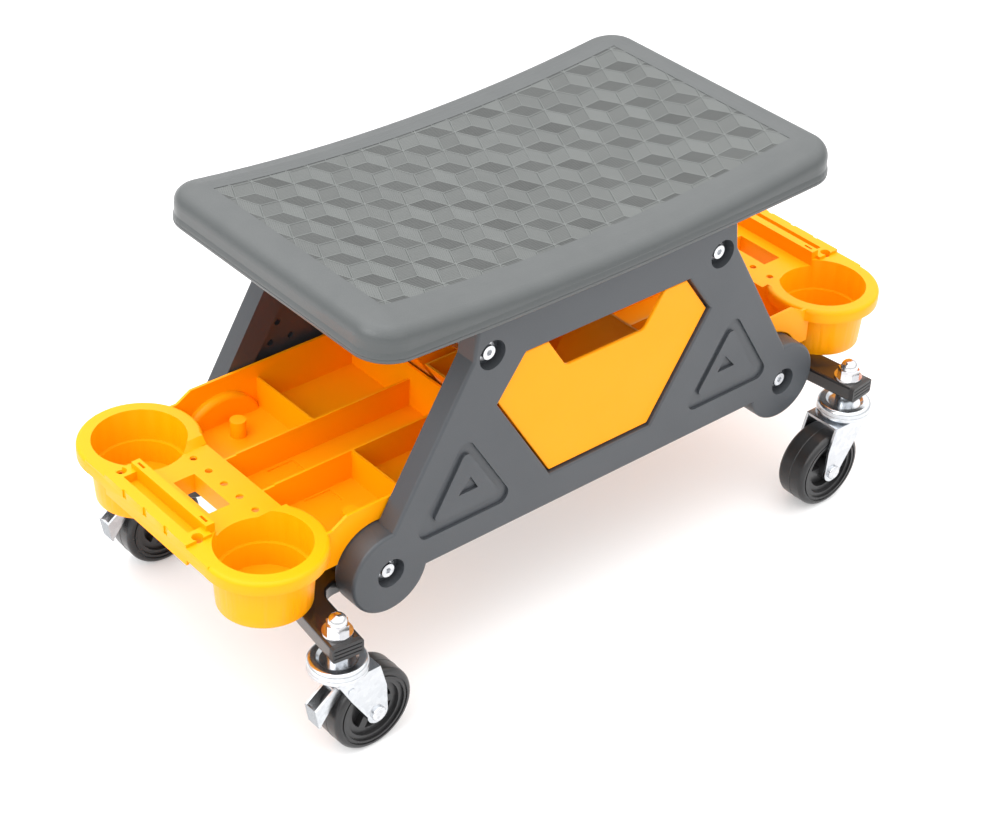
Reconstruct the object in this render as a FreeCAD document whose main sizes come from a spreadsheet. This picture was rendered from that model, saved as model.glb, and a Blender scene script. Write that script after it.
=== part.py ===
import FreeCAD, Part
import Sketcher
import math
import os
from FreeCAD import Placement, Rotation, Vector

# A rolling workshop seat. Millimetres, +Z up, +X along the seat.
# The origin is on the floor under the middle of the seat.

doc = FreeCAD.newDocument("RollingSeat")
sheet = doc.addObject("Spreadsheet::Sheet", "Sizes")


class Size:
    """A length that knows its number and the sheet formula that gives it."""

    def __init__(self, value, formula):
        self.value = value
        self.formula = formula

    def __add__(self, other):
        return Size(self.value + other.value, "(%s + %s)" % (self.formula, other.formula))

    def __sub__(self, other):
        return Size(self.value - other.value, "(%s - %s)" % (self.formula, other.formula))

    def __mul__(self, share):
        return Size(self.value * share, "(%s * %.9g)" % (self.formula, share))

    def __truediv__(self, share):
        return Size(self.value / share, "(%s / %.9g)" % (self.formula, share))

    def __neg__(self):
        return Size(-self.value, "(-%s)" % self.formula)

    __rmul__ = __mul__


ZERO = Size(0.0, "0")
round_share = 1 - math.sqrt(0.5)
cell_count = 0


def size(alias, value):
    """Write one driving size into the sheet and return it."""
    global cell_count
    cell_count += 1
    sheet.set("A%d" % cell_count, alias)
    sheet.set("B%d" % cell_count, "%.9g" % value)
    sheet.setAlias("B%d" % cell_count, alias)
    return Size(value, "Sizes." + alias)


# Common
overrun = size("overrun", 2.0)
small_gap = size("small_gap", 0.3)
fixed_gap = size("fixed_gap", 0.1)
running_gap = size("running_gap", 0.05)
pick_slack = size("pick_slack", 0.1)

# Seat
seat_half_length = size("seat_half_length", 246.0)
seat_half_width = size("seat_half_width", 142.8)
seat_corner_radius = size("seat_corner_radius", 30.0)
seat_top_end_z = size("seat_top_end_z", 374.4)
seat_top_middle_z = size("seat_top_middle_z", 357.0)
seat_base_end_z = size("seat_base_end_z", 340.0)
seat_base_middle_z = size("seat_base_middle_z", 334.5)
seat_roll_width = size("seat_roll_width", 24.0)
seat_roll_drop = size("seat_roll_drop", 5.0)
seat_roll_inner_radius = size("seat_roll_inner_radius", 40.0)
seat_roll_outer_radius = size("seat_roll_outer_radius", 12.0)
seat_lip_radius = size("seat_lip_radius", 2.5)
tread_half_length = size("tread_half_length", 216.0)
tread_half_width = size("tread_half_width", 108.4)
tread_depth = size("tread_depth", 0.7)
saddle_length = size("saddle_length", 40.0)
saddle_width = size("saddle_width", 34.0)
saddle_wrap = size("saddle_wrap", 6.0)

# Frame rails
rail_top_z = size("rail_top_z", 121.5)
rail_height = size("rail_height", 14.5)
rail_width = size("rail_width", 28.0)
rail_wall = size("rail_wall", 1.8)
rail_corner_radius = size("rail_corner_radius", 2.5)
rail_offset = size("rail_offset", 84.5)
rail_bend_radius = size("rail_bend_radius", 31.0)
arm_end_past_swivel = size("arm_end_past_swivel", 12.0)
cap_plate = size("cap_plate", 4.5)
cap_plug = size("cap_plug", 6.0)
cap_groove = size("cap_groove", 1.0)
cap_groove_pitch = size("cap_groove_pitch", 3.6)

# Casters
swivel_x = size("swivel_x", 288.2)
swivel_y = size("swivel_y", 148.9)
arm_elbow_x = size("arm_elbow_x", 280.3)
wheel_radius = size("wheel_radius", 37.5)
wheel_trail = size("wheel_trail", 25.7)
tyre_width = size("tyre_width", 30.0)
tyre_inner_radius = size("tyre_inner_radius", 29.0)
tyre_edge_radius = size("tyre_edge_radius", 4.5)
tyre_groove = size("tyre_groove", 1.0)
tyre_groove_inner = size("tyre_groove_inner", 31.0)
tyre_groove_outer = size("tyre_groove_outer", 32.4)
hub_width = size("hub_width", 31.4)
hub_boss_radius = size("hub_boss_radius", 9.5)
hub_web = size("hub_web", 20.0)
hub_pocket_radius = size("hub_pocket_radius", 19.5)
hub_pocket_web = size("hub_pocket_web", 8.0)
hub_rim = size("hub_rim", 4.0)
hub_rib = size("hub_rib", 7.0)
hub_rim_width = size("hub_rim_width", 26.0)
hub_rib_count = 3
axle_radius = size("axle_radius", 4.0)
axle_head_radius = size("axle_head_radius", 6.6)
axle_head_height = size("axle_head_height", 3.0)
fork_gap = size("fork_gap", 32.0)
fork_sheet = size("fork_sheet", 2.5)
fork_crown_z = size("fork_crown_z", 85.0)
race_foot_radius = size("race_foot_radius", 19.5)
race_shoulder_z = size("race_shoulder_z", 87.5)
race_crest_radius = size("race_crest_radius", 21.2)
race_edge_z = size("race_edge_z", 93.5)
fork_leg_radius = size("fork_leg_radius", 10.0)
fork_front = size("fork_front", 13.0)
fork_back = size("fork_back", 28.0)
fork_knee_z = size("fork_knee_z", 62.0)
fork_flare = size("fork_flare", 34.5)
race_radius = size("race_radius", 24.7)
race_seam_z = size("race_seam_z", 91.0)
race_top_z = size("race_top_z", 97.5)
race_dish_radius = size("race_dish_radius", 17.0)
race_dish_depth = size("race_dish_depth", 2.5)
stem_radius = size("stem_radius", 6.0)
stem_thread_radius = size("stem_thread_radius", 5.0)
stem_top_z = size("stem_top_z", 134.0)
stem_head_radius = size("stem_head_radius", 10.5)
stem_head_height = size("stem_head_height", 3.0)
stem_collar_radius = size("stem_collar_radius", 8.6)
nut_flange_radius = size("nut_flange_radius", 12.5)
nut_flange_height = size("nut_flange_height", 2.5)
nut_hex_flats = size("nut_hex_flats", 17.0)
nut_hex_height = size("nut_hex_height", 7.5)
nut_dome_radius = size("nut_dome_radius", 7.8)
nut_dome_height = size("nut_dome_height", 8.0)
nut_dome_share = 0.85

# Brake levers
brake_pivot_drop = size("brake_pivot_drop", 12.0)
brake_pivot_radius = size("brake_pivot_radius", 2.5)
brake_eye_radius = size("brake_eye_radius", 4.5)
brake_bar_radius = size("brake_bar_radius", 2.5)
brake_bar_x = size("brake_bar_x", 4.5)
brake_bar_z = size("brake_bar_z", 65.5)
brake_pin_head_radius = size("brake_pin_head_radius", 3.4)
brake_pin_head_height = size("brake_pin_head_height", 0.8)
knurl_height = size("knurl_height", 0.9)
knurl_count = 8
brake_sheet = size("brake_sheet", 2.0)
brake_half_width = size("brake_half_width", 7.0)
pedal_reach = size("pedal_reach", 26.5)
pedal_top_z = size("pedal_top_z", 58.0)
pedal_bottom_z = size("pedal_bottom_z", 39.0)
pedal_bottom_reach = size("pedal_bottom_reach", 23.0)

# Side panels
panel_outer_y = size("panel_outer_y", 130.0)
panel_thickness = size("panel_thickness", 20.0)
foot_thickness = size("foot_thickness", 27.0)
foot_x = size("foot_x", 221.0)
foot_radius = size("foot_radius", 37.5)
panel_bottom_z = size("panel_bottom_z", 125.0)
panel_bottom_half = size("panel_bottom_half", 205.0)
slant_bottom_x = size("slant_bottom_x", 219.0)
slant_bottom_z = size("slant_bottom_z", 171.0)
slant_top_x = size("slant_top_x", 143.0)
slant_top_z = size("slant_top_z", 301.0)
panel_top_half = size("panel_top_half", 139.0)
panel_seat_gap = size("panel_seat_gap", 2.5)
panel_outer_round = size("panel_outer_round", 2.8)
panel_inner_round = size("panel_inner_round", 5.0)
window_top_half = size("window_top_half", 89.0)
window_top_z = size("window_top_z", 289.6)
window_side_half = size("window_side_half", 116.8)
window_side_z = size("window_side_z", 251.0)
window_bottom_half = size("window_bottom_half", 56.0)
window_bottom_z = size("window_bottom_z", 156.8)
window_round = size("window_round", 2.0)
screw_recess_radius = size("screw_recess_radius", 13.0)
screw_recess_depth = size("screw_recess_depth", 10.0)
emboss_depth = size("emboss_depth", 2.6)
emboss_round = size("emboss_round", 9.0)
plateau_round = size("plateau_round", 5.0)
inner_field_depth = size("inner_field_depth", 6.0)
peg_hole_radius = size("peg_hole_radius", 3.0)
peg_hole_depth = size("peg_hole_depth", 4.0)
triangle_top_x = size("triangle_top_x", 148.0)
triangle_top_z = size("triangle_top_z", 236.0)
triangle_inner_x = size("triangle_inner_x", 94.0)
triangle_outer_x = size("triangle_outer_x", 201.0)
triangle_base_z = size("triangle_base_z", 151.0)
plateau_top_x = size("plateau_top_x", 147.0)
plateau_top_z = size("plateau_top_z", 221.0)
plateau_inner_x = size("plateau_inner_x", 109.0)
plateau_outer_x = size("plateau_outer_x", 181.0)
plateau_base_z = size("plateau_base_z", 162.0)
chip_top_x = size("chip_top_x", 142.0)
chip_top_z = size("chip_top_z", 193.0)
chip_inner_x = size("chip_inner_x", 134.0)
chip_outer_x = size("chip_outer_x", 154.0)
chip_base_z = size("chip_base_z", 179.0)
field_bottom_z = size("field_bottom_z", 146.0)
field_bottom_outer_x = size("field_bottom_outer_x", 172.0)
field_low_x = size("field_low_x", 186.0)
field_low_z = size("field_low_z", 182.0)
field_top_x = size("field_top_x", 127.0)
field_top_z = size("field_top_z", 271.0)
field_inner_x = size("field_inner_x", 92.0)
peg_upper_x = size("peg_upper_x", 152.0)
peg_upper_z = size("peg_upper_z", 215.5)
peg_inner_x = size("peg_inner_x", 138.5)
peg_outer_x = size("peg_outer_x", 159.5)
peg_lower_z = size("peg_lower_z", 197.5)

# Cross ties
tie_radius = size("tie_radius", 12.5)
tie_wall = size("tie_wall", 2.0)
tie_plug = size("tie_plug", 20.0)
upper_tie_x = size("upper_tie_x", 124.4)
upper_tie_z = size("upper_tie_z", 301.0)

# Screws
bolt_radius = size("bolt_radius", 4.0)
bolt_head_radius = size("bolt_head_radius", 6.0)
bolt_head_height = size("bolt_head_height", 4.4)
bolt_socket_flats = size("bolt_socket_flats", 5.0)
bolt_socket_depth = size("bolt_socket_depth", 2.4)
bolt_length = size("bolt_length", 30.0)
washer_radius = size("washer_radius", 8.8)
washer_height = size("washer_height", 1.6)
tapper_radius = size("tapper_radius", 2.4)
tapper_head_radius = size("tapper_head_radius", 5.0)
tapper_head_height = size("tapper_head_height", 2.6)
tapper_bite = size("tapper_bite", 11.0)
tapper_socket_flats = size("tapper_socket_flats", 3.0)
tapper_socket_depth = size("tapper_socket_depth", 1.6)
seat_screw_y = size("seat_screw_y", 70.0)

# End trays
tray_floor_z = size("tray_floor_z", 147.0)
tray_wall = size("tray_wall", 2.5)
tray_half_width = size("tray_half_width", 108.5)
tray_rim_z = size("tray_rim_z", 190.0)
tray_divider_z = size("tray_divider_z", 176.5)
tray_end_rim_z = size("tray_end_rim_z", 181.7)
tray_inner_x = size("tray_inner_x", 77.5)
tub_outer_x = size("tub_outer_x", 272.0)
tray_divider_y = size("tray_divider_y", 26.2)
tray_divider = size("tray_divider", 2.2)
tray_cross_x = size("tray_cross_x", 181.0)
arch_gap = size("arch_gap", 1.5)
arch_round = size("arch_round", 5.0)
tray_ramp_x = size("tray_ramp_x", 262.0)
ramp_share = 1.7
deck_z = size("deck_z", 175.5)
deck_outer_x = size("deck_outer_x", 363.0)
cup_x = size("cup_x", 311.8)
cup_y = size("cup_y", 86.3)
cup_radius = size("cup_radius", 39.3)
cup_ledge_radius = size("cup_ledge_radius", 36.0)
cup_ledge_z = size("cup_ledge_z", 152.0)
cup_bottom_z = size("cup_bottom_z", 128.0)
cup_floor = size("cup_floor", 3.0)
cup_bottom_radius = size("cup_bottom_radius", 38.5)
cup_body_radius = size("cup_body_radius", 42.0)
cup_rim_radius = size("cup_rim_radius", 51.5)
cup_rim_z = size("cup_rim_z", 181.7)
cup_skirt_z = size("cup_skirt_z", 170.0)
blend_bottom_half = size("blend_bottom_half", 52.0)
blend_top_half = size("blend_top_half", 60.0)
cup_edge_round = size("cup_edge_round", 3.5)
strip_z = size("strip_z", 184.5)
strip_inner_x = size("strip_inner_x", 339.0)
bar_z = size("bar_z", 189.7)
bar_inner_x = size("bar_inner_x", 333.0)
bar_outer_x = size("bar_outer_x", 341.0)
bar_half_length = size("bar_half_length", 52.5)
bar_slit = size("bar_slit", 2.2)
bar_slit_length = size("bar_slit_length", 9.0)
trough_outer_x = size("trough_outer_x", 353.0)
trough_half_length = size("trough_half_length", 45.0)
trough_depth = size("trough_depth", 8.0)
lip_bottom_z = size("lip_bottom_z", 165.0)
lip_half_length = size("lip_half_length", 57.0)
lip_notch = size("lip_notch", 5.0)
lip_notch_depth = size("lip_notch_depth", 7.0)
lip_notch_pitch = size("lip_notch_pitch", 29.0)
notch_depth_share = 0.5
tool_hole_x = size("tool_hole_x", 288.5)
tool_hole_pitch = size("tool_hole_pitch", 21.5)
tool_hole_radius = size("tool_hole_radius", 3.2)
corner_hole_x = size("corner_hole_x", 350.0)
corner_hole_y = size("corner_hole_y", 53.5)
corner_hole_radius = size("corner_hole_radius", 4.6)
well_inner_x = size("well_inner_x", 300.0)
well_outer_x = size("well_outer_x", 320.0)
well_half_length = size("well_half_length", 25.0)
well_bottom_z = size("well_bottom_z", 158.0)
post_radius = size("post_radius", 7.0)
post_top_z = size("post_top_z", 165.0)
post_y = size("post_y", 78.0)
tray_foot_x = size("tray_foot_x", 95.0)
tray_foot_length = size("tray_foot_length", 20.0)
tray_foot_width = size("tray_foot_width", 14.0)
dimple_length = size("dimple_length", 26.0)
dimple_width = size("dimple_width", 17.0)
dimple_depth = size("dimple_depth", 1.2)
dimple_x = size("dimple_x", 219.0)
dimple_side_y = size("dimple_side_y", 38.0)
dimple_middle_y = size("dimple_middle_y", 13.0)

# Side drawers and their cradle
drawer_gap = size("drawer_gap", 2.0)
drawer_setback = size("drawer_setback", 3.0)
drawer_front = size("drawer_front", 3.0)
drawer_wall = size("drawer_wall", 2.5)
drawer_back_y = size("drawer_back_y", 5.0)
drawer_side_z = size("drawer_side_z", 212.0)
notch_top_half = size("notch_top_half", 66.0)
notch_bottom_half = size("notch_bottom_half", 43.0)
notch_bottom_z = size("notch_bottom_z", 257.0)
notch_round = size("notch_round", 8.0)
cradle_wall = size("cradle_wall", 2.5)
cradle_top_z = size("cradle_top_z", 184.0)
cradle_foot_x = size("cradle_foot_x", 40.0)
cradle_foot_length = size("cradle_foot_length", 24.0)
cradle_foot_width = size("cradle_foot_width", 14.0)

# Places that follow from the sizes above
rail_bottom_z = rail_top_z - rail_height
foot_z = rail_top_z + tie_radius
panel_inner_y = panel_outer_y - panel_thickness
foot_inner_y = panel_outer_y - foot_thickness
panel_top_z = seat_base_middle_z - panel_seat_gap
recess_floor_y = panel_outer_y - screw_recess_depth
tray_floor_top_z = tray_floor_z + tray_wall
brake_pivot_z = fork_crown_z - brake_pivot_drop
wheel_z = wheel_radius


def bind(feature, name, amount):
    """Give a feature a length and the formula that drives it."""
    setattr(feature, name, amount.value)
    feature.setExpression(name, amount.formula)


def start_body(label):
    """A new body that carries the name of its piece."""
    body = doc.addObject("PartDesign::Body", label)
    body.Label = label
    return body


def place(piece, x, y, z, turn=0.0):
    """Put a piece at a bound position, turned about the upright axis."""
    piece.Placement = Placement(Vector(x.value, y.value, z.value), Rotation(Vector(0, 0, 1), turn))
    piece.setExpression("Placement.Base.x", x.formula)
    piece.setExpression("Placement.Base.y", y.formula)
    piece.setExpression("Placement.Base.z", z.formula)


def sketch_on(body, plane, name, offset=ZERO, shift=ZERO):
    """A sketch on one of the body's own origin planes, moved along its normal and sideways."""
    sketch = body.newObject("Sketcher::SketchObject", name)
    support = [item for item in body.Origin.OriginFeatures if item.Role == plane + "_Plane"][0]
    sketch.AttachmentSupport = [(support, "")]
    sketch.MapMode = "FlatFace"
    sketch.AttachmentOffset = Placement(Vector(shift.value, 0, offset.value), Rotation())
    sketch.setExpression("AttachmentOffset.Base.x", shift.formula)
    sketch.setExpression("AttachmentOffset.Base.z", offset.formula)
    return sketch


def pin_point(sketch, geometry, end, point):
    """Hold one point of a sketch at two bound coordinates."""
    for kind, amount in (("DistanceX", point[0]), ("DistanceY", point[1])):
        index = sketch.addConstraint(Sketcher.Constraint(kind, -1, 1, geometry, end, amount.value))
        sketch.setExpression("Constraints[%d]" % index, amount.formula)


def flat(point):
    return Vector(point[0].value, point[1].value, 0)


def arc_through(start, middle, finish):
    """An arc through three points, and whether it runs from start to finish."""
    circle = Part.Arc(start, middle, finish).toShape().Curve
    centre = circle.Center
    angles = [math.atan2(point.y - centre.y, point.x - centre.x) for point in (start, middle, finish)]
    turn = 2 * math.pi
    forward = (angles[1] - angles[0]) % turn < (angles[2] - angles[0]) % turn
    low, high = (angles[0], angles[2]) if forward else (angles[2], angles[0])
    upright = Part.Circle(centre, Vector(0, 0, 1), circle.Radius)
    return Part.ArcOfCircle(upright, low, low + (high - low) % turn), forward


def draw_line(sketch, points, bends=None, closed=True):
    """An outline through the points; bends maps a side to a point that its arc passes."""
    bends = bends or {}
    first = sketch.GeometryCount
    count = len(points)
    sides = count if closed else count - 1
    ends = []
    for side in range(sides):
        start = flat(points[side])
        stop = flat(points[(side + 1) % count])
        forward = True
        if side in bends:
            arc, forward = arc_through(start, flat(bends[side]), stop)
            sketch.addGeometry(arc, False)
        else:
            sketch.addGeometry(Part.LineSegment(start, stop), False)
        ends.append((1, 2) if forward else (2, 1))
    for side in range(count if closed else sides - 1):
        following = (side + 1) % sides
        sketch.addConstraint(Sketcher.Constraint(
            "Coincident", first + side, ends[side][1], first + following, ends[following][0]))
    for side in range(sides):
        pin_point(sketch, first + side, ends[side][0], points[side])
    if not closed:
        pin_point(sketch, first + sides - 1, ends[-1][1], points[-1])
    for side in bends:
        marker = sketch.addGeometry(Part.Point(flat(bends[side])), True)
        pin_point(sketch, marker, 1, bends[side])
        sketch.addConstraint(Sketcher.Constraint("PointOnObject", marker, 1, first + side))


def draw_circle(sketch, centre, radius):
    circle = sketch.addGeometry(Part.Circle(flat(centre), Vector(0, 0, 1), radius.value), False)
    pin_point(sketch, circle, 3, centre)
    index = sketch.addConstraint(Sketcher.Constraint("Radius", circle, radius.value))
    sketch.setExpression("Constraints[%d]" % index, radius.formula)


def box_points(left, right, low, high):
    return [(left, low), (right, low), (right, high), (left, high)]


def box_about(x, y, length, width):
    """A rectangle about a centre."""
    return box_points(x - length / 2, x + length / 2, y - width / 2, y + width / 2)


def both_sides(half):
    """A closed outline from its right half, listed upwards from the bottom."""
    return half + [(-x, y) for x, y in half[::-1]]


def hexagon(x, y, flats):
    """Six corners about a centre, given the distance between opposite flats."""
    corner = flats / math.sqrt(3)
    turns = [math.radians(60 * number) for number in range(6)]
    return [(x + corner * math.cos(turn), y + corner * math.sin(turn)) for turn in turns]


def inset(points, gap):
    """A closed outline moved inwards; each corner slides along its bisector."""
    count = len(points)
    places = [(x.value, y.value) for x, y in points]
    area = sum(places[i - 1][0] * places[i][1] - places[i][0] * places[i - 1][1] for i in range(count))
    side = math.copysign(1, area)
    normals = []
    for i in range(count):
        run = places[(i + 1) % count][0] - places[i][0]
        rise = places[(i + 1) % count][1] - places[i][1]
        normals.append((-rise / math.hypot(run, rise) * side, run / math.hypot(run, rise) * side))
    moved = []
    for i in range(count):
        before, after = normals[i - 1], normals[i]
        spread = 1 + before[0] * after[0] + before[1] * after[1]
        moved.append((points[i][0] + gap * ((before[0] + after[0]) / spread),
                      points[i][1] + gap * ((before[1] + after[1]) / spread)))
    return moved


def along(start, stop, height):
    """The point of a slanted line at a height."""
    share = (height.value - start[1].value) / (stop[1].value - start[1].value)
    return (start[0] + (stop[0] - start[0]) * share, height)


def chord(radius, rise):
    """Half the length of a circle's chord at a distance from its centre."""
    value = math.sqrt(radius.value ** 2 - rise.value ** 2)
    return Size(value, "sqrt(%s ^ 2 - %s ^ 2)" % (radius.formula, rise.formula))


def pad(body, sketch, length, name, both_ways=False, backwards=False):
    feature = body.newObject("PartDesign::Pad", name)
    feature.Profile = sketch
    feature.Midplane = both_ways
    feature.Reversed = backwards
    bind(feature, "Length", length)
    doc.recompute([sketch, feature])
    return feature


def pocket(body, sketch, name, length, both_ways=False, backwards=False):
    """Cut along the sketch normal, and make sure that something was cut."""
    before = body.Tip.Shape.Volume
    feature = body.newObject("PartDesign::Pocket", name)
    feature.Profile = sketch
    feature.Midplane = both_ways
    feature.Reversed = backwards
    bind(feature, "Length", length)
    doc.recompute([sketch, feature])
    if not feature.Shape.Volume < before:
        raise RuntimeError("%s of %s cuts nothing" % (name, body.Label))
    return feature


def turn_solid(body, sketch, name):
    """A solid of revolution about the sketch's own upright axis."""
    feature = body.newObject("PartDesign::Revolution", name)
    feature.Profile = sketch
    feature.ReferenceAxis = (sketch, ["V_Axis"])
    feature.Angle = 360.0
    doc.recompute([sketch, feature])
    return feature


def pick_edges(shape, wanted):
    return ["Edge%d" % (number + 1) for number, edge in enumerate(shape.Edges) if wanted(edge)]


def soften(body, name, radius, wanted):
    """Round the edges that the test picks."""
    solid = body.Tip
    names = pick_edges(solid.Shape, wanted)
    if not names:
        raise RuntimeError("%s of %s finds no edge" % (name, body.Label))
    feature = body.newObject("PartDesign::Fillet", name)
    feature.Base = (solid, names)
    bind(feature, "Radius", radius)
    doc.recompute([feature])
    return feature


def runs_along(edge, axis):
    """True for a straight edge along one axis."""
    if edge.Curve.TypeId != "Part::GeomLine":
        return False
    return math.isclose(abs(getattr(edge.Curve.Direction, axis)), 1, rel_tol=1e-6)


def near(value, amount, slack=pick_slack):
    return abs(value - amount.value) < slack.value


def is_circle(edge, radius):
    return edge.Curve.TypeId == "Part::GeomCircle" and near(edge.Curve.Radius, radius)


def lies_at(edge, axis, amount):
    """True for an edge whose whole length keeps one coordinate."""
    points = [vertex.Point for vertex in edge.Vertexes] + [edge.CenterOfMass]
    return all(near(getattr(point, axis), amount) for point in points)


def follows(edge, points):
    """True for a straight edge that lies along one side of an outline drawn in XZ."""
    if edge.Curve.TypeId != "Part::GeomLine":
        return False
    for number, start in enumerate(points):
        stop = points[(number + 1) % len(points)]
        run = stop[0].value - start[0].value
        rise = stop[1].value - start[1].value
        length = math.hypot(run, rise)
        offsets = [abs(run * (vertex.Z - start[1].value) - rise * (vertex.X - start[0].value)) / length
                   for vertex in edge.Vertexes]
        if max(offsets) < pick_slack.value:
            return True
    return False


def on_outline(edge, half_length, half_width, slack):
    """True for an edge whose ends both lie on a rectangle's sides in plan."""
    return all(near(abs(vertex.X), half_length, slack) or near(abs(vertex.Y), half_width, slack)
               for vertex in edge.Vertexes)


pieces = []


def finish(body):
    doc.recompute([body])
    pieces.append(body)
    return body


def copy_piece(original, label, x=ZERO, y=ZERO, z=ZERO, turn=0.0):
    """The same piece again in another place."""
    body = start_body(label)
    clone = doc.addObject("PartDesign::FeatureBase", label + "_copy")
    body.Group = [clone]
    body.Tip = clone
    clone.BaseFeature = original
    doc.recompute([clone])
    place(body, x, y, z, turn)
    return finish(body)


def build_seat():
    """A saddle-shaped slab: a rolled edge, a sunk field on top and four moulded saddles below."""
    body = start_body("seat_shell")
    side = sketch_on(body, "XZ", "seat_side")
    corners = [
        (-seat_half_length, seat_base_end_z),
        (seat_half_length, seat_base_end_z),
        (seat_half_length, seat_top_end_z),
        (-seat_half_length, seat_top_end_z),
    ]
    draw_line(side, corners, {0: (ZERO, seat_base_middle_z), 2: (ZERO, seat_top_middle_z)})
    pad(body, side, seat_half_width * 2, "seat_slab", both_ways=True)
    soften(body, "seat_corners", seat_corner_radius, lambda edge: runs_along(edge, "z"))
    middle_z = (seat_base_end_z + seat_top_middle_z) / 2
    slab = body.Tip
    rim = pick_edges(slab.Shape, lambda edge: (
        edge.CenterOfMass.z > middle_z.value and not runs_along(edge, "z")))
    slope = body.newObject("PartDesign::Chamfer", "seat_slope")
    slope.Base = (slab, rim)
    slope.ChamferType = "Two distances"
    bind(slope, "Size", seat_roll_drop)
    bind(slope, "Size2", seat_roll_width)
    doc.recompute([slope])
    soften(body, "seat_roll", seat_roll_outer_radius, lambda edge: (
        edge.CenterOfMass.z > middle_z.value and not runs_along(edge, "z")
        and on_outline(edge, seat_half_length, seat_half_width, pick_slack)))
    soften(body, "seat_brow", seat_roll_inner_radius, lambda edge: (
        edge.CenterOfMass.z > middle_z.value
        and on_outline(edge, seat_half_length - seat_roll_width, seat_half_width - seat_roll_width,
                       overrun / 2)))
    soften(body, "seat_lip", seat_lip_radius, lambda edge: (
        edge.BoundBox.ZMax < seat_base_end_z.value + overrun.value))
    saddle_z = upper_tie_z + tie_radius - saddle_wrap
    saddles = sketch_on(body, "XY", "seat_saddle_outlines", saddle_z)
    grooves = sketch_on(body, "XZ", "seat_grooves")
    holes = sketch_on(body, "XY", "seat_holes", upper_tie_z)
    for x in (-upper_tie_x, upper_tie_x):
        draw_circle(grooves, (x, upper_tie_z), tie_radius + fixed_gap)
        for y in (-seat_screw_y, seat_screw_y):
            draw_line(saddles, box_about(x, y, saddle_length, saddle_width))
            draw_circle(holes, (x, y), tapper_radius + running_gap)
    pad(body, saddles, seat_base_end_z - saddle_z, "seat_saddles")
    pocket(body, grooves, "saddle_grooves", seat_half_width * 2, both_ways=True)
    pocket(body, holes, "seat_pilot_holes", tie_radius + tapper_bite + small_gap, backwards=True)
    rise_share = (tread_half_length.value / seat_half_length.value) ** 2
    tread_end_z = seat_top_middle_z + (seat_top_end_z - seat_top_middle_z) * rise_share - tread_depth
    tread = sketch_on(body, "XZ", "seat_tread_outline")
    tread_corners = box_points(-tread_half_length, tread_half_length, tread_end_z,
                               seat_top_end_z + overrun)
    draw_line(tread, tread_corners, {0: (ZERO, seat_top_middle_z - tread_depth)})
    pocket(body, tread, "seat_tread", tread_half_width * 2, both_ways=True)
    return finish(body)


def window_outline():
    half = [
        (window_bottom_half, window_bottom_z),
        (window_side_half, window_side_z),
        (window_top_half, window_top_z),
    ]
    return both_sides(half)


def panel_outline():
    return both_sides([
        (panel_bottom_half, panel_bottom_z),
        (slant_bottom_x, slant_bottom_z),
        (slant_top_x, slant_top_z),
        (panel_top_half, panel_top_z),
    ])


def build_panel(label):
    """A moulded side panel: a trapezoid with two round feet and a six-sided window."""
    body = start_body(label)
    plate = sketch_on(body, "XZ", label + "_outline", panel_inner_y)
    draw_line(plate, panel_outline())
    pad(body, plate, panel_thickness, label + "_plate")
    for side, foot in (("left", -foot_x), ("right", foot_x)):
        disc = sketch_on(body, "XZ", label + "_disc_" + side, foot_inner_y)
        draw_circle(disc, (foot, foot_z), foot_radius)
        pad(body, disc, foot_thickness, label + "_foot_" + side)
    window = sketch_on(body, "XZ", label + "_window_outline", panel_inner_y - overrun)
    draw_line(window, window_outline())
    pocket(body, window, label + "_window", panel_thickness + overrun * 2, backwards=True)
    build_triangles(body, label)
    for name, x, z in (("upper", upper_tie_x, upper_tie_z), ("lower", foot_x, foot_z)):
        recess = sketch_on(body, "XZ", label + "_recess_circles_" + name, panel_outer_y + overrun)
        bore = sketch_on(body, "XZ", label + "_bore_circles_" + name, panel_outer_y)
        for side in (-x, x):
            draw_circle(recess, (side, z), screw_recess_radius)
            draw_circle(bore, (side, z), bolt_radius + fixed_gap)
        pocket(body, recess, label + "_recess_" + name, screw_recess_depth + overrun)
        pocket(body, bore, label + "_bore_" + name, foot_thickness + overrun)
    build_inner_fields(body, label)
    soften(body, label + "_window_round", window_round, lambda edge: (
        lies_at(edge, "y", -panel_outer_y) and follows(edge, window_outline())))
    soften(body, label + "_outer_round", panel_outer_round, lambda edge: (
        lies_at(edge, "y", -panel_outer_y)
        and (follows(edge, panel_outline()) or is_circle(edge, foot_radius))))
    soften(body, label + "_foot_round", panel_inner_round, lambda edge: (
        lies_at(edge, "y", -foot_inner_y) and is_circle(edge, foot_radius)))
    return finish(body)


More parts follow.
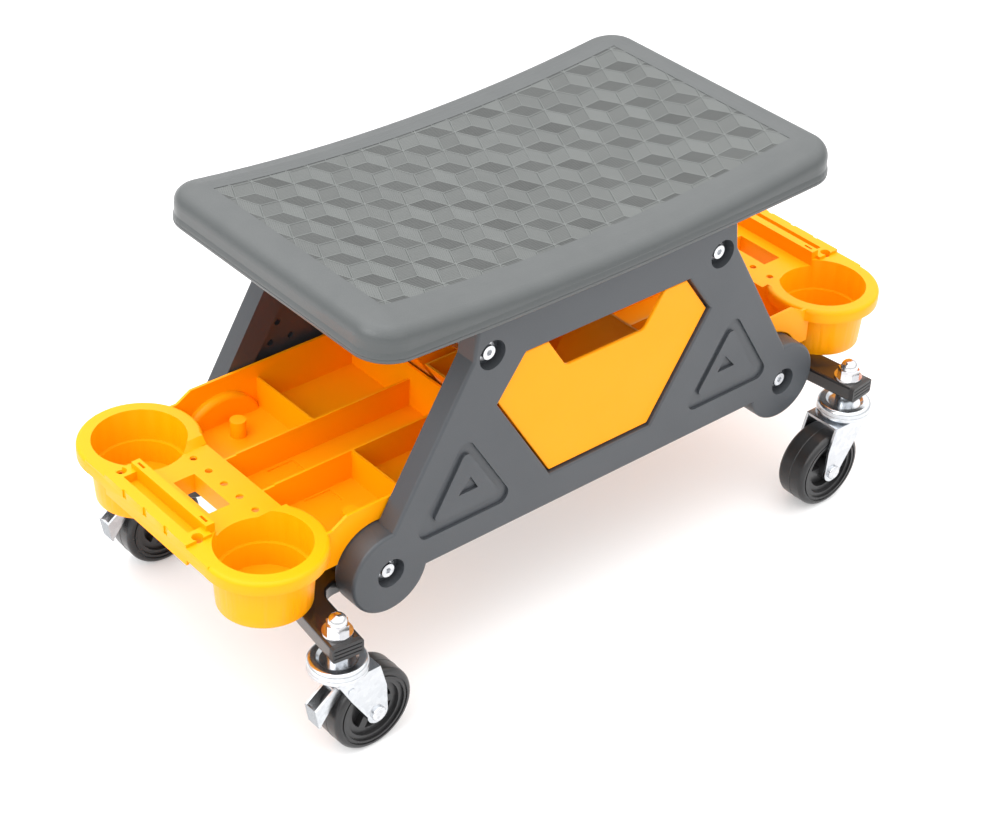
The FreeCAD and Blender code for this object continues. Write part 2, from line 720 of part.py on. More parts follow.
def build_triangles(body, label):
    """The rounded triangle pressed into each end of a panel's outer face."""
    for side, sign in (("left", -1), ("right", 1)):
        ring = sketch_on(body, "XZ", label + "_ring_" + side, panel_outer_y + overrun)
        draw_line(ring, [
            (triangle_outer_x * sign, triangle_base_z),
            (triangle_top_x * sign, triangle_top_z),
            (triangle_inner_x * sign, triangle_base_z),
        ])
        draw_line(ring, [
            (plateau_outer_x * sign, plateau_base_z),
            (plateau_top_x * sign, plateau_top_z),
            (plateau_inner_x * sign, plateau_base_z),
        ])
        pocket(body, ring, label + "_groove_" + side, emboss_depth + overrun)
        chip = sketch_on(body, "XZ", label + "_chip_outline_" + side, panel_outer_y + overrun)
        draw_line(chip, [
            (chip_outer_x * sign, chip_base_z),
            (chip_top_x * sign, chip_top_z),
            (chip_inner_x * sign, chip_base_z),
        ])
        pocket(body, chip, label + "_chip_" + side, emboss_depth + overrun)
    soften(body, label + "_groove_corners", emboss_round, lambda edge: (
        runs_along(edge, "y") and near(edge.Length, emboss_depth)
        and (near(edge.CenterOfMass.z, triangle_base_z) or near(edge.CenterOfMass.z, triangle_top_z))))
    soften(body, label + "_plateau_corners", plateau_round, lambda edge: (
        runs_along(edge, "y") and near(edge.Length, emboss_depth)
        and (near(edge.CenterOfMass.z, plateau_base_z) or near(edge.CenterOfMass.z, plateau_top_z))))


def build_inner_fields(body, label):
    """The sunk field and three peg holes at each end of a panel's inner face."""
    for side, sign in (("left", -1), ("right", 1)):
        field = sketch_on(body, "XZ", label + "_field_outline_" + side, panel_inner_y - overrun)
        draw_line(field, [
            (field_bottom_outer_x * sign, field_bottom_z),
            (field_low_x * sign, field_low_z),
            (field_top_x * sign, field_top_z),
            (field_top_x * sign, window_side_z),
            (field_inner_x * sign, field_bottom_z),
        ])
        pocket(body, field, label + "_field_" + side, inner_field_depth + overrun, backwards=True)
        pegs = sketch_on(body, "XZ", label + "_peg_circles_" + side, panel_inner_y)
        for x, z in ((peg_upper_x, peg_upper_z), (peg_inner_x, peg_lower_z), (peg_outer_x, peg_lower_z)):
            draw_circle(pegs, (x * sign, z), peg_hole_radius)
        pocket(body, pegs, label + "_peg_holes_" + side, inner_field_depth + peg_hole_depth,
               backwards=True)


def build_tie(label, reach, screw_y, x, z):
    """A round cross tube with a threaded plug in each end and two upright screw holes."""
    body = start_body(label)
    section = sketch_on(body, "XY", label + "_section")
    plug = reach - tie_plug
    hole = bolt_radius + running_gap
    bore = tie_radius - tie_wall
    draw_line(section, [
        (hole, reach), (tie_radius, reach), (tie_radius, -reach), (hole, -reach),
        (hole, -plug), (bore, -plug), (bore, plug), (hole, plug),
    ])
    turn_solid(body, section, label + "_tube")
    holes = sketch_on(body, "XY", label + "_screw_circles")
    for y in (-screw_y, screw_y):
        draw_circle(holes, (ZERO, y), tapper_radius + fixed_gap)
    pocket(body, holes, label + "_screw_holes", tie_radius * 2 + overrun, both_ways=True)
    place(body, x, ZERO, z)
    return finish(body)


def rounded_box(x, y, length, width, radius):
    """A rectangle about a centre with round corners: its points and its corner arcs."""
    points = []
    bends = {}
    for number, (right, up) in enumerate(((1, -1), (1, 1), (-1, 1), (-1, -1))):
        corner = (x + length / 2 * right, y + width / 2 * up)
        before = (corner[0] - radius * right, corner[1])
        after = (corner[0], corner[1] - radius * up)
        if number % 2:
            before, after = after, before
        points += [before, after]
        bends[number * 2] = (corner[0] - radius * (right * round_share),
                             corner[1] - radius * (up * round_share))
    return points, bends


def arm_splay():
    """The angle by which a rail's end leans out from a square elbow."""
    return math.atan2(swivel_x.value - arm_elbow_x.value, swivel_y.value - rail_offset.value)


def build_rail(label):
    """A box tube along one side, whose bent ends reach out to two casters."""
    body = start_body(label)
    section = sketch_on(body, "YZ", label + "_section")
    middle_z = rail_top_z - rail_height / 2
    draw_line(section, *rounded_box(-rail_offset, middle_z, rail_width, rail_height, rail_corner_radius))
    draw_line(section, *rounded_box(-rail_offset, middle_z, rail_width - rail_wall * 2,
                                    rail_height - rail_wall * 2, rail_corner_radius - rail_wall))
    splay = arm_splay()
    setback = rail_bend_radius * math.tan(math.radians(45) - splay / 2)
    bend_start = (arm_elbow_x - setback, -rail_offset)
    bend_stop = (arm_elbow_x + setback * math.sin(splay), -rail_offset - setback * math.cos(splay))
    half_turn = math.radians(45) + splay / 2
    bend_middle = (bend_start[0] + rail_bend_radius * math.cos(half_turn),
                   bend_start[1] - rail_bend_radius * (1 - math.sin(half_turn)))
    arm_end = (swivel_x + arm_end_past_swivel * math.sin(splay),
               -swivel_y - arm_end_past_swivel * math.cos(splay))
    path = sketch_on(body, "XY", label + "_path", middle_z)
    draw_line(path, [(ZERO, -rail_offset), bend_start, bend_stop, arm_end], {1: bend_middle}, closed=False)
    sweep = body.newObject("PartDesign::AdditivePipe", label + "_half")
    sweep.Profile = section
    doc.recompute([section, path])
    sweep.Spine = (path, ["Edge1", "Edge2", "Edge3"])
    doc.recompute([sweep])
    mirror = body.newObject("PartDesign::Mirrored", label + "_both_halves")
    mirror.Originals = [sweep]
    mirror.MirrorPlane = ([item for item in body.Origin.OriginFeatures if item.Role == "YZ_Plane"][0], [""])
    body.Tip = mirror
    doc.recompute([mirror])
    holes = sketch_on(body, "XY", label + "_holes", rail_top_z + overrun)
    for sign in (-1, 1):
        draw_circle(holes, (swivel_x * sign, -swivel_y), stem_thread_radius + fixed_gap)
        draw_circle(holes, (foot_x * sign, -post_y), tapper_radius + fixed_gap)
        for x in (tray_foot_x, cradle_foot_x):
            draw_circle(holes, (x * sign, -rail_offset), tapper_radius + fixed_gap)
    pocket(body, holes, label + "_screw_holes", rail_height + overrun * 2)
    return finish(body)


def build_rail_cap(label, across, side):
    """A ribbed plastic cap with a plug inside the rail's end."""
    body = start_body(label)
    plate = sketch_on(body, "XZ", label + "_plate_outline")
    draw_line(plate, *rounded_box(ZERO, ZERO, rail_width, rail_height, rail_corner_radius))
    pad(body, plate, cap_plate, label + "_plate")
    plug = sketch_on(body, "XZ", label + "_plug_outline")
    clear_wall = rail_wall + small_gap
    draw_line(plug, box_about(ZERO, ZERO, rail_width - clear_wall * 2, rail_height - clear_wall * 2))
    pad(body, plug, cap_plug, label + "_plug", backwards=True)
    grooves = sketch_on(body, "XZ", label + "_groove_outlines", cap_plate + overrun)
    for level in (-1, 0, 1):
        draw_line(grooves, box_about(ZERO, cap_groove_pitch * level, rail_width - cap_groove_pitch,
                                     cap_groove))
    pocket(body, grooves, label + "_grooves", cap_groove + overrun)
    splay = arm_splay()
    x = (swivel_x + arm_end_past_swivel * math.sin(splay)) * across
    y = (swivel_y + arm_end_past_swivel * math.cos(splay)) * side
    turn = math.degrees(splay) * across if side < 0 else 180 - math.degrees(splay) * across
    place(body, x, y, rail_top_z - rail_height / 2, turn)
    return finish(body)


def build_stem(label, x, y):
    """A caster's fixed stem: bearing head, shank, upper race, collar and thread."""
    body = start_body(label)
    profile = sketch_on(body, "XZ", label + "_profile")
    head_top = fork_crown_z - fork_sheet - small_gap
    race_bottom = race_seam_z + small_gap
    dish_z = race_top_z - race_dish_depth
    draw_line(profile, [
        (ZERO, head_top - stem_head_height),
        (stem_head_radius, head_top - stem_head_height),
        (stem_head_radius, head_top),
        (stem_radius, head_top),
        (stem_radius, race_bottom),
        (race_radius, race_bottom),
        (race_radius, race_edge_z),
        (race_crest_radius, race_top_z),
        (race_dish_radius, race_top_z),
        (race_dish_radius - race_dish_depth, dish_z),
        (stem_collar_radius, dish_z),
        (stem_collar_radius, rail_bottom_z),
        (stem_thread_radius, rail_bottom_z),
        (stem_thread_radius, stem_top_z),
        (ZERO, stem_top_z),
    ], {6: (race_radius - (race_radius - race_crest_radius) * round_share,
            race_top_z - (race_top_z - race_edge_z) * round_share)})
    turn_solid(body, profile, label + "_shank")
    place(body, x, y, ZERO)
    return finish(body)


def build_fork(label, x, y, turn=0.0, braked=True):
    """A caster's turning fork: lower race, crown plate and two pierced legs."""
    body = start_body(label)
    bore = stem_radius + running_gap
    race = sketch_on(body, "XZ", label + "_race_profile")
    draw_line(race, [
        (bore, fork_crown_z - fork_sheet),
        (race_foot_radius, fork_crown_z - fork_sheet),
        (race_foot_radius, fork_crown_z),
        (race_radius, race_shoulder_z),
        (race_radius, race_seam_z),
        (bore, race_seam_z),
    ])
    turn_solid(body, race, label + "_race")
    crown = sketch_on(body, "XY", label + "_crown_outline", fork_crown_z - fork_sheet)
    outer_y = fork_gap / 2 + fork_sheet
    draw_line(crown, box_points(-fork_front, fork_back, -outer_y, outer_y))
    draw_circle(crown, (ZERO, ZERO), bore)
    pad(body, crown, fork_sheet, label + "_crown")
    for side, offset in (("near", fork_gap / 2), ("far", -outer_y)):
        leg = sketch_on(body, "XZ", label + "_leg_outline_" + side, offset)
        draw_line(leg, [
            (-fork_front, fork_crown_z),
            (ZERO, fork_knee_z),
            (wheel_trail - fork_leg_radius, wheel_z),
            (wheel_trail + fork_leg_radius, wheel_z),
            (fork_flare, fork_knee_z),
            (fork_back, fork_crown_z),
        ])
        pad(body, leg, fork_sheet, label + "_leg_" + side)
        tip = sketch_on(body, "XZ", label + "_tip_outline_" + side, offset)
        draw_circle(tip, (wheel_trail, wheel_z), fork_leg_radius)
        pad(body, tip, fork_sheet, label + "_tip_" + side)
    holes = sketch_on(body, "XZ", label + "_holes")
    draw_circle(holes, (wheel_trail, wheel_z), axle_radius + running_gap)
    if braked:
        draw_circle(holes, (ZERO, brake_pivot_z), brake_pivot_radius + running_gap)
    pocket(body, holes, label + "_pin_holes", outer_y * 2 + overrun, both_ways=True)
    place(body, x, y, ZERO, turn)
    return finish(body)


def build_pin(label, radius, reach, head_radius, head_height, x, y, z):
    """A rivet across a fork, with a head outside each leg."""
    body = start_body(label)
    profile = sketch_on(body, "XY", label + "_profile")
    top = reach + head_height
    draw_line(profile, [
        (ZERO, -top), (head_radius, -top), (head_radius, -reach), (radius, -reach),
        (radius, reach), (head_radius, reach), (head_radius, top), (ZERO, top),
    ])
    turn_solid(body, profile, label + "_rivet")
    soften(body, label + "_head_round", head_height / 2, lambda edge: (
        near(abs(edge.CenterOfMass.y), top) and edge.Curve.TypeId == "Part::GeomCircle"))
    place(body, x, y, z)
    return finish(body)


def build_tyre(label, x, y):
    """A wheel's solid tread with two side grooves."""
    body = start_body(label)
    profile = sketch_on(body, "XY", label + "_profile")
    half = tyre_width / 2
    groove = half - tyre_groove
    draw_line(profile, [
        (tyre_inner_radius, -half), (tyre_groove_inner, -half), (tyre_groove_inner, -groove),
        (tyre_groove_outer, -groove), (tyre_groove_outer, -half), (wheel_radius, -half),
        (wheel_radius, half), (tyre_groove_outer, half), (tyre_groove_outer, groove),
        (tyre_groove_inner, groove), (tyre_groove_inner, half), (tyre_inner_radius, half),
    ])
    turn_solid(body, profile, label + "_tread")
    soften(body, label + "_shoulders", tyre_edge_radius, lambda edge: (
        is_circle(edge, wheel_radius)))
    place(body, x, y, wheel_z)
    return finish(body)


def build_hub(label, x, y):
    """A wheel's core: boss, rim and a web sunk round the boss between three ribs."""
    body = start_body(label)
    profile = sketch_on(body, "XY", label + "_profile")
    bore = axle_radius + running_gap
    rim_inner = tyre_inner_radius - hub_rim
    boss = hub_width / 2
    web = hub_web / 2
    sunk = hub_pocket_web / 2
    rim = hub_rim_width / 2
    draw_line(profile, [
        (bore, -boss), (hub_boss_radius, -boss), (hub_boss_radius, -sunk), (hub_pocket_radius, -sunk),
        (hub_pocket_radius, -web), (rim_inner, -web), (rim_inner, -rim), (tyre_inner_radius, -rim),
        (tyre_inner_radius, rim), (rim_inner, rim), (rim_inner, web), (hub_pocket_radius, web),
        (hub_pocket_radius, sunk), (hub_boss_radius, sunk), (hub_boss_radius, boss), (bore, boss),
    ])
    turn_solid(body, profile, label + "_core")
    rib = sketch_on(body, "XY", label + "_rib_outline")
    root = (axle_radius + hub_boss_radius) / 2
    draw_line(rib, box_points(root, (hub_pocket_radius + rim_inner) / 2, -web, web))
    ribs = pad(body, rib, hub_rib, label + "_rib", both_ways=True)
    ring = body.newObject("PartDesign::PolarPattern", label + "_ribs")
    ring.Originals = [ribs]
    ring.Axis = ([item for item in body.Origin.OriginFeatures if item.Role == "Y_Axis"][0], [""])
    ring.Angle = 360.0
    ring.Occurrences = hub_rib_count
    body.Tip = ring
    doc.recompute([ring])
    place(body, x, y, wheel_z)
    return finish(body)


def build_brake_lever(label, x, y):
    """A folded lever over the tread: two arms, a ridged pedal and a braking bar."""
    body = start_body(label)
    for side, offset in (("near", brake_half_width - brake_sheet), ("far", -brake_half_width)):
        arm = sketch_on(body, "XZ", label + "_arm_outline_" + side, offset)
        draw_line(arm, [
            (-pedal_reach, pedal_top_z),
            (-pedal_bottom_reach, pedal_bottom_z),
            (-brake_bar_x, brake_bar_z - brake_bar_radius),
            (brake_eye_radius, brake_pivot_z),
            (ZERO, brake_pivot_z + brake_eye_radius),
        ])
        pad(body, arm, brake_sheet, label + "_arm_" + side)
    pedal = sketch_on(body, "XZ", label + "_pedal_outline")
    teeth = []
    drop = pedal_top_z - pedal_bottom_z
    shift = pedal_reach - pedal_bottom_reach
    for number in range(knurl_count):
        start = number / knurl_count
        crest = (number + 0.5) / knurl_count
        teeth.append((-pedal_reach + shift * start, pedal_top_z - drop * start))
        teeth.append((-pedal_reach + shift * crest - knurl_height, pedal_top_z - drop * crest))
    teeth.append((-pedal_bottom_reach, pedal_bottom_z))
    draw_line(pedal, teeth + [(-pedal_bottom_reach + brake_sheet, pedal_bottom_z),
                              (-pedal_reach + brake_sheet, pedal_top_z)])
    pad(body, pedal, brake_half_width * 2, label + "_pedal", both_ways=True)
    bar = sketch_on(body, "XZ", label + "_bar_outline")
    draw_circle(bar, (-brake_bar_x, brake_bar_z), brake_bar_radius)
    pad(body, bar, brake_half_width * 2, label + "_bar", both_ways=True)
    eye = sketch_on(body, "XZ", label + "_eye")
    draw_circle(eye, (ZERO, brake_pivot_z), brake_pivot_radius + running_gap)
    pocket(body, eye, label + "_pivot_hole", brake_half_width * 2 + overrun, both_ways=True)
    place(body, x, y, ZERO)
    return finish(body)


def build_caster_nuts():
    """The four flanged cap nuts that hold the caster stems in the rails."""
    body = start_body("caster_nuts")
    body.AllowCompound = True
    flange = sketch_on(body, "XY", "nut_flange_circles", rail_top_z)
    flats = sketch_on(body, "XY", "nut_hexagons", rail_top_z + nut_flange_height)
    dome = sketch_on(body, "XY", "nut_dome_circles", rail_top_z + nut_flange_height + nut_hex_height)
    bore = sketch_on(body, "XY", "nut_bores", rail_top_z - overrun)
    for x in (-swivel_x, swivel_x):
        for y in (-swivel_y, swivel_y):
            draw_circle(flange, (x, y), nut_flange_radius)
            draw_line(flats, hexagon(x, y, nut_hex_flats))
            draw_circle(dome, (x, y), nut_dome_radius)
            draw_circle(bore, (x, y), stem_thread_radius + running_gap)
    pad(body, flange, nut_flange_height, "nut_flanges")
    pad(body, flats, nut_hex_height, "nut_flats")
    pad(body, dome, nut_dome_height, "nut_domes")
    dome_top = rail_top_z + nut_flange_height + nut_hex_height + nut_dome_height
    soften(body, "nut_dome_rounds", nut_dome_height * nut_dome_share, lambda edge: (
        lies_at(edge, "z", dome_top)))
    pocket(body, bore, "nut_threads", stem_top_z + small_gap - rail_top_z + overrun, backwards=True)
    return finish(body)


def build_tray(label):
    """An end tray: a divided tub under the seat's end and a deck with two cups beyond it."""
    body = start_body(label)
    build_cup_bodies(body, label)
    build_deck(body, label)
    build_tub(body, label)
    build_tub_details(body, label)
    build_deck_details(body, label)
    arch_outer = foot_radius + arch_gap + tray_wall
    soften(body, label + "_arch_rounds", arch_round, lambda edge: (
        is_circle(edge, arch_outer)
        and near(abs(edge.CenterOfMass.y), foot_inner_y - arch_gap - tray_wall)))
    return finish(body)


def build_cup_bodies(body, label):
    """Two tapered cups, each with a rolled rim that is hollow underneath."""
    body.AllowCompound = True
    rim_inner = cup_rim_radius - tray_wall
    underside_z = cup_rim_z - tray_wall
    for side, offset in (("near", cup_y), ("far", -cup_y)):
        profile = sketch_on(body, "XZ", label + "_cup_profile_" + side, offset, -cup_x)
        draw_line(profile, [
            (ZERO, cup_bottom_z), (cup_bottom_radius, cup_bottom_z), (cup_body_radius, underside_z),
            (rim_inner, underside_z), (rim_inner, cup_skirt_z), (cup_rim_radius, cup_skirt_z),
            (cup_rim_radius, cup_rim_z - cup_edge_round), (cup_rim_radius - cup_edge_round, cup_rim_z),
            (ZERO, cup_rim_z),
        ], {6: (cup_rim_radius - cup_edge_round * round_share, cup_rim_z - cup_edge_round * round_share)})
        turn_solid(body, profile, label + "_cup_" + side)


def build_deck(body, label):
    """The plate between the cups with its raised front strip, bar, lip and well walls."""
    def block(name, points, low, high):
        sketch = sketch_on(body, "XY", label + "_" + name + "_outline", low)
        draw_line(sketch, points)
        pad(body, sketch, high - low, label + "_" + name)

    block("deck", box_points(-deck_outer_x, -tub_outer_x + tray_wall, -cup_y, cup_y),
          deck_z - tray_wall, deck_z)
    for side, sign in (("near", -1), ("far", 1)):
        block("shoulder_" + side,
              box_points(-deck_outer_x, -corner_hole_x, cup_y * sign, bar_half_length * sign),
              cup_skirt_z, cup_rim_z)
        block("blend_" + side,
              box_points(-bar_inner_x, -tub_outer_x, blend_bottom_half * sign,
                         (blend_top_half + tray_wall) * sign),
              deck_z - tray_wall, cup_rim_z)
    block("strip", box_points(-deck_outer_x, -strip_inner_x, -lip_half_length, lip_half_length),
          deck_z - tray_wall, strip_z)
    block("bar", box_points(-bar_outer_x, -bar_inner_x, -bar_half_length, bar_half_length),
          deck_z - tray_wall, bar_z)
    block("lip", box_points(-deck_outer_x, -deck_outer_x + tray_wall, -lip_half_length, lip_half_length),
          lip_bottom_z, strip_z)
    block("well_walls", box_points(-well_outer_x - tray_wall, -well_inner_x + tray_wall,
                                   -well_half_length - tray_wall, well_half_length + tray_wall),
          well_bottom_z, deck_z)


def build_tub(body, label):
    """The tub: floor, four walls, dividers, feet, and the ramped rim at its outer end."""
    inner_y = tray_half_width - tray_wall
    inner_low_x = -tub_outer_x + tray_wall
    inner_high_x = -tray_inner_x - tray_wall
    floor = sketch_on(body, "XY", label + "_floor_outline", tray_floor_z)
    draw_line(floor, box_points(-tub_outer_x, -tray_inner_x, -tray_half_width, tray_half_width))
    pad(body, floor, tray_wall, label + "_floor")
    walls = sketch_on(body, "XY", label + "_wall_outline", tray_floor_z)
    draw_line(walls, box_points(-tub_outer_x, -tray_inner_x, -tray_half_width, tray_half_width))
    draw_line(walls, box_points(inner_low_x, inner_high_x, -inner_y, inner_y))
    pad(body, walls, tray_rim_z - tray_floor_z, label + "_walls")
    ramp = sketch_on(body, "XZ", label + "_ramp_outline")
    ramp_top_x = -tray_ramp_x + (tray_rim_z - tray_end_rim_z) * ramp_share
    draw_line(ramp, [
        (-tub_outer_x - overrun, tray_end_rim_z), (-tray_ramp_x, tray_end_rim_z),
        (ramp_top_x, tray_rim_z), (ramp_top_x, tray_rim_z + overrun),
        (-tub_outer_x - overrun, tray_rim_z + overrun),
    ])
    pocket(body, ramp, label + "_ramp", tray_half_width * 2 + overrun, both_ways=True)
    gate = sketch_on(body, "XY", label + "_gate_outline", deck_z)
    draw_line(gate, box_points(-tub_outer_x - overrun, inner_low_x + overrun,
                               -bar_half_length, bar_half_length))
    pocket(body, gate, label + "_gate", tray_end_rim_z - deck_z + overrun, backwards=True)
    dividers = sketch_on(body, "XY", label + "_divider_outlines", tray_floor_top_z)
    for sign in (-1, 1):
        draw_line(dividers, box_points(inner_low_x, inner_high_x, (tray_divider_y - tray_divider / 2) * sign,
                                       (tray_divider_y + tray_divider / 2) * sign))
    pad(body, dividers, tray_divider_z - tray_floor_top_z, label + "_dividers")
    crossings = sketch_on(body, "XY", label + "_crossing_outlines", tray_floor_top_z)
    for sign in (-1, 1):
        draw_line(crossings, box_points(-tray_cross_x - tray_divider / 2, -tray_cross_x + tray_divider / 2,
                                        tray_divider_y * sign, inner_y * sign))
    pad(body, crossings, tray_divider_z - tray_floor_top_z, label + "_crossings")


def build_tub_details(body, label):
    """Arches round the panel feet, screw posts, rail feet and floor recesses."""
    arch_inner = foot_radius + arch_gap
    arch_outer = arch_inner + tray_wall
    arch_face = foot_inner_y - arch_gap
    rise = tray_floor_z - foot_z
    half = chord(arch_outer, rise)
    shell_depth = tray_half_width - arch_face + tray_wall
    for side, start in (("near", arch_face - tray_wall), ("far", -tray_half_width)):
        shell = sketch_on(body, "XZ", label + "_arch_outline_" + side, start)
        draw_line(shell, [(-foot_x - half, tray_floor_z), (-foot_x + half, tray_floor_z)],
                  {1: (-foot_x, foot_z + arch_outer)})
        pad(body, shell, shell_depth, label + "_arch_" + side)
    for side, start, back in (("near", arch_face, True), ("far", -arch_face, False)):
        hollow = sketch_on(body, "XZ", label + "_arch_circle_" + side, start)
        draw_circle(hollow, (-foot_x, foot_z), arch_inner)
        pocket(body, hollow, label + "_arch_hollow_" + side, tray_half_width - arch_face + overrun,
               backwards=back)
    posts = sketch_on(body, "XY", label + "_post_circles", tray_floor_z)
    feet = sketch_on(body, "XY", label + "_foot_outlines", rail_top_z)
    holes = sketch_on(body, "XY", label + "_screw_circles", rail_top_z - overrun)
    recesses = sketch_on(body, "XY", label + "_recess_outlines", tray_floor_top_z - dimple_depth)
    for sign in (-1, 1):
        draw_circle(posts, (-foot_x, post_y * sign), post_radius)
        draw_line(feet, box_about(-tray_foot_x, rail_offset * sign, tray_foot_length, tray_foot_width))
        draw_line(recesses, box_about(-dimple_x, dimple_side_y * sign, dimple_length, dimple_width))
        draw_circle(holes, (-tray_foot_x, rail_offset * sign), tapper_radius + running_gap)
    draw_line(recesses, box_about(-dimple_x, dimple_middle_y, dimple_length, dimple_width))
    pad(body, posts, post_top_z - tray_floor_z, label + "_posts")
    pad(body, feet, tray_floor_z - rail_top_z, label + "_feet")
    pocket(body, recesses, label + "_recesses", dimple_depth + overrun, backwards=True)
    pocket(body, holes, label + "_foot_holes", tapper_bite + small_gap + overrun, backwards=True)
    post_holes = sketch_on(body, "XY", label + "_post_hole_circles", tray_floor_z - overrun)
    for sign in (-1, 1):
        draw_circle(post_holes, (-foot_x, post_y * sign), tapper_radius + running_gap)
    pocket(body, post_holes, label + "_post_holes", tapper_bite + small_gap + overrun, backwards=True)


def build_deck_details(body, label):
    """Cup hollows, tool holes, the well, the trough, the bar's slits and the lip's notches."""
    for name, radius, low in (("mouths", cup_radius, cup_ledge_z),
                              ("floors", cup_ledge_radius, cup_bottom_z + cup_floor)):
        hollow = sketch_on(body, "XY", label + "_cup_" + name + "_circles", low)
        for sign in (-1, 1):
            draw_circle(hollow, (-cup_x, cup_y * sign), radius)
        pocket(body, hollow, label + "_cup_" + name, bar_z - low + overrun, backwards=True)
    slopes = sketch_on(body, "YZ", label + "_slope_outline", -bar_inner_x)
    draw_line(slopes, both_sides([(blend_bottom_half, deck_z), (blend_top_half, cup_rim_z + overrun)]))
    pocket(body, slopes, label + "_slopes", bar_inner_x - cup_x + cup_rim_radius + overrun, backwards=True)
    clearings = sketch_on(body, "XY", label + "_clearing_circles", deck_z - tray_wall)
    for number in (-2, 2):
        draw_circle(clearings, (-tool_hole_x, tool_hole_pitch * number), tool_hole_radius + tray_wall)
    pocket(body, clearings, label + "_clearings", deck_z - tray_wall - cup_skirt_z + overrun)
    through = sketch_on(body, "XY", label + "_hole_outlines", bar_z + overrun)
    draw_line(through, box_points(-well_outer_x, -well_inner_x, -well_half_length, well_half_length))
    for number in (-2, -1, 0, 1, 2):
        draw_circle(through, (-tool_hole_x, tool_hole_pitch * number), tool_hole_radius)
    for sign in (-1, 1):
        draw_circle(through, (-corner_hole_x, corner_hole_y * sign), corner_hole_radius)
    pocket(body, through, label + "_holes", bar_z - well_bottom_z + overrun * 2)
    trough = sketch_on(body, "XY", label + "_trough_outline", strip_z + overrun)
    draw_line(trough, box_points(-trough_outer_x, -bar_outer_x, -trough_half_length, trough_half_length))
    pocket(body, trough, label + "_trough", trough_depth + overrun)
    slits = sketch_on(body, "XY", label + "_slit_outlines", bar_z + overrun)
    for sign in (-1, 1):
        middle_x = (bar_outer_x + bar_inner_x) / 2
        draw_line(slits, box_about(-middle_x, (bar_half_length - bar_slit_length) * sign,
                                   bar_slit, bar_slit_length))
    pocket(body, slits, label + "_slits", bar_z - lip_bottom_z + overrun)
    notches = sketch_on(body, "YZ", label + "_notch_outlines", -deck_outer_x - overrun)
    for number in (-1, 0, 1):
        draw_line(notches, box_points(lip_notch_pitch * number - lip_notch / 2,
                                      lip_notch_pitch * number + lip_notch / 2,
                                      strip_z - lip_notch_depth, strip_z + overrun))
    pocket(body, notches, label + "_notches", tray_wall * notch_depth_share + overrun, backwards=True)


def drawer_outline():
    """The drawer's outer section up to the top of its sides."""
    front = inset(window_outline(), drawer_gap)
    right = along(front[0], front[1], drawer_side_z)
    left = (-right[0], right[1])
    return [front[0], right, left, (-front[0][0], front[0][1])]


def build_drawer(label):
    """A side drawer: a six-sided front with a finger notch and an open box behind it."""
    body = start_body(label)
    face_y = panel_outer_y - drawer_setback
    back_of_front = face_y - drawer_front
    front = sketch_on(body, "XZ", label + "_front_outline", back_of_front)
    draw_line(front, inset(window_outline(), drawer_gap))
    pad(body, front, drawer_front, label + "_front")
    outer = sketch_on(body, "XZ", label + "_box_outline", drawer_back_y)
    draw_line(outer, drawer_outline())
    pad(body, outer, back_of_front - drawer_back_y, label + "_box")
    shell = drawer_outline()
    hollow = inset(shell, drawer_wall)
    inner = sketch_on(body, "XZ", label + "_hollow_outline", drawer_back_y + drawer_wall)
    mouth_right = along(hollow[0], hollow[1], drawer_side_z + overrun)
    draw_line(inner, [hollow[0], mouth_right, (-mouth_right[0], mouth_right[1]),
                      (-hollow[0][0], hollow[0][1])])
    pocket(body, inner, label + "_hollow", back_of_front - drawer_back_y - drawer_wall, backwards=True)
    notch = sketch_on(body, "XZ", label + "_notch_outline", back_of_front - overrun)
    top_z = window_top_z + overrun
    draw_line(notch, both_sides([(notch_bottom_half, notch_bottom_z), (notch_top_half, top_z)]))
    pocket(body, notch, label + "_notch", drawer_front + overrun * 2, backwards=True)
    soften(body, label + "_notch_corners", notch_round, lambda edge: (
        runs_along(edge, "y") and near(edge.CenterOfMass.z, notch_bottom_z)))
    soften(body, label + "_face_round", drawer_front / 3, lambda edge: lies_at(edge, "y", -face_y))
    return finish(body)


def build_cradle():
    """The fixed trough that both drawers slide in, standing on four feet."""
    body = start_body("drawer_cradle")
    reach = panel_inner_y - small_gap
    outer = inset(window_outline(), drawer_gap - small_gap - cradle_wall)
    inner = inset(window_outline(), drawer_gap - small_gap)
    section = sketch_on(body, "XZ", "cradle_section")
    outer_top = along(outer[0], outer[1], cradle_top_z)
    inner_top = along(inner[0], inner[1], cradle_top_z)
    draw_line(section, both_sides([outer[0], outer_top, inner_top, inner[0]]))
    pad(body, section, reach * 2, "cradle_trough", both_ways=True)
    feet = sketch_on(body, "XY", "cradle_feet_outlines", rail_top_z)
    holes = sketch_on(body, "XY", "cradle_hole_circles", rail_top_z - overrun)
    for x in (-cradle_foot_x, cradle_foot_x):
        for y in (-rail_offset, rail_offset):
            draw_line(feet, box_about(x, y, cradle_foot_length, cradle_foot_width))
            draw_circle(holes, (x, y), tapper_radius + running_gap)
    pad(body, feet, outer[0][1] - rail_top_z, "cradle_feet")
    pocket(body, holes, "cradle_pilot_holes", tapper_bite + small_gap + overrun, backwards=True)
    return finish(body)


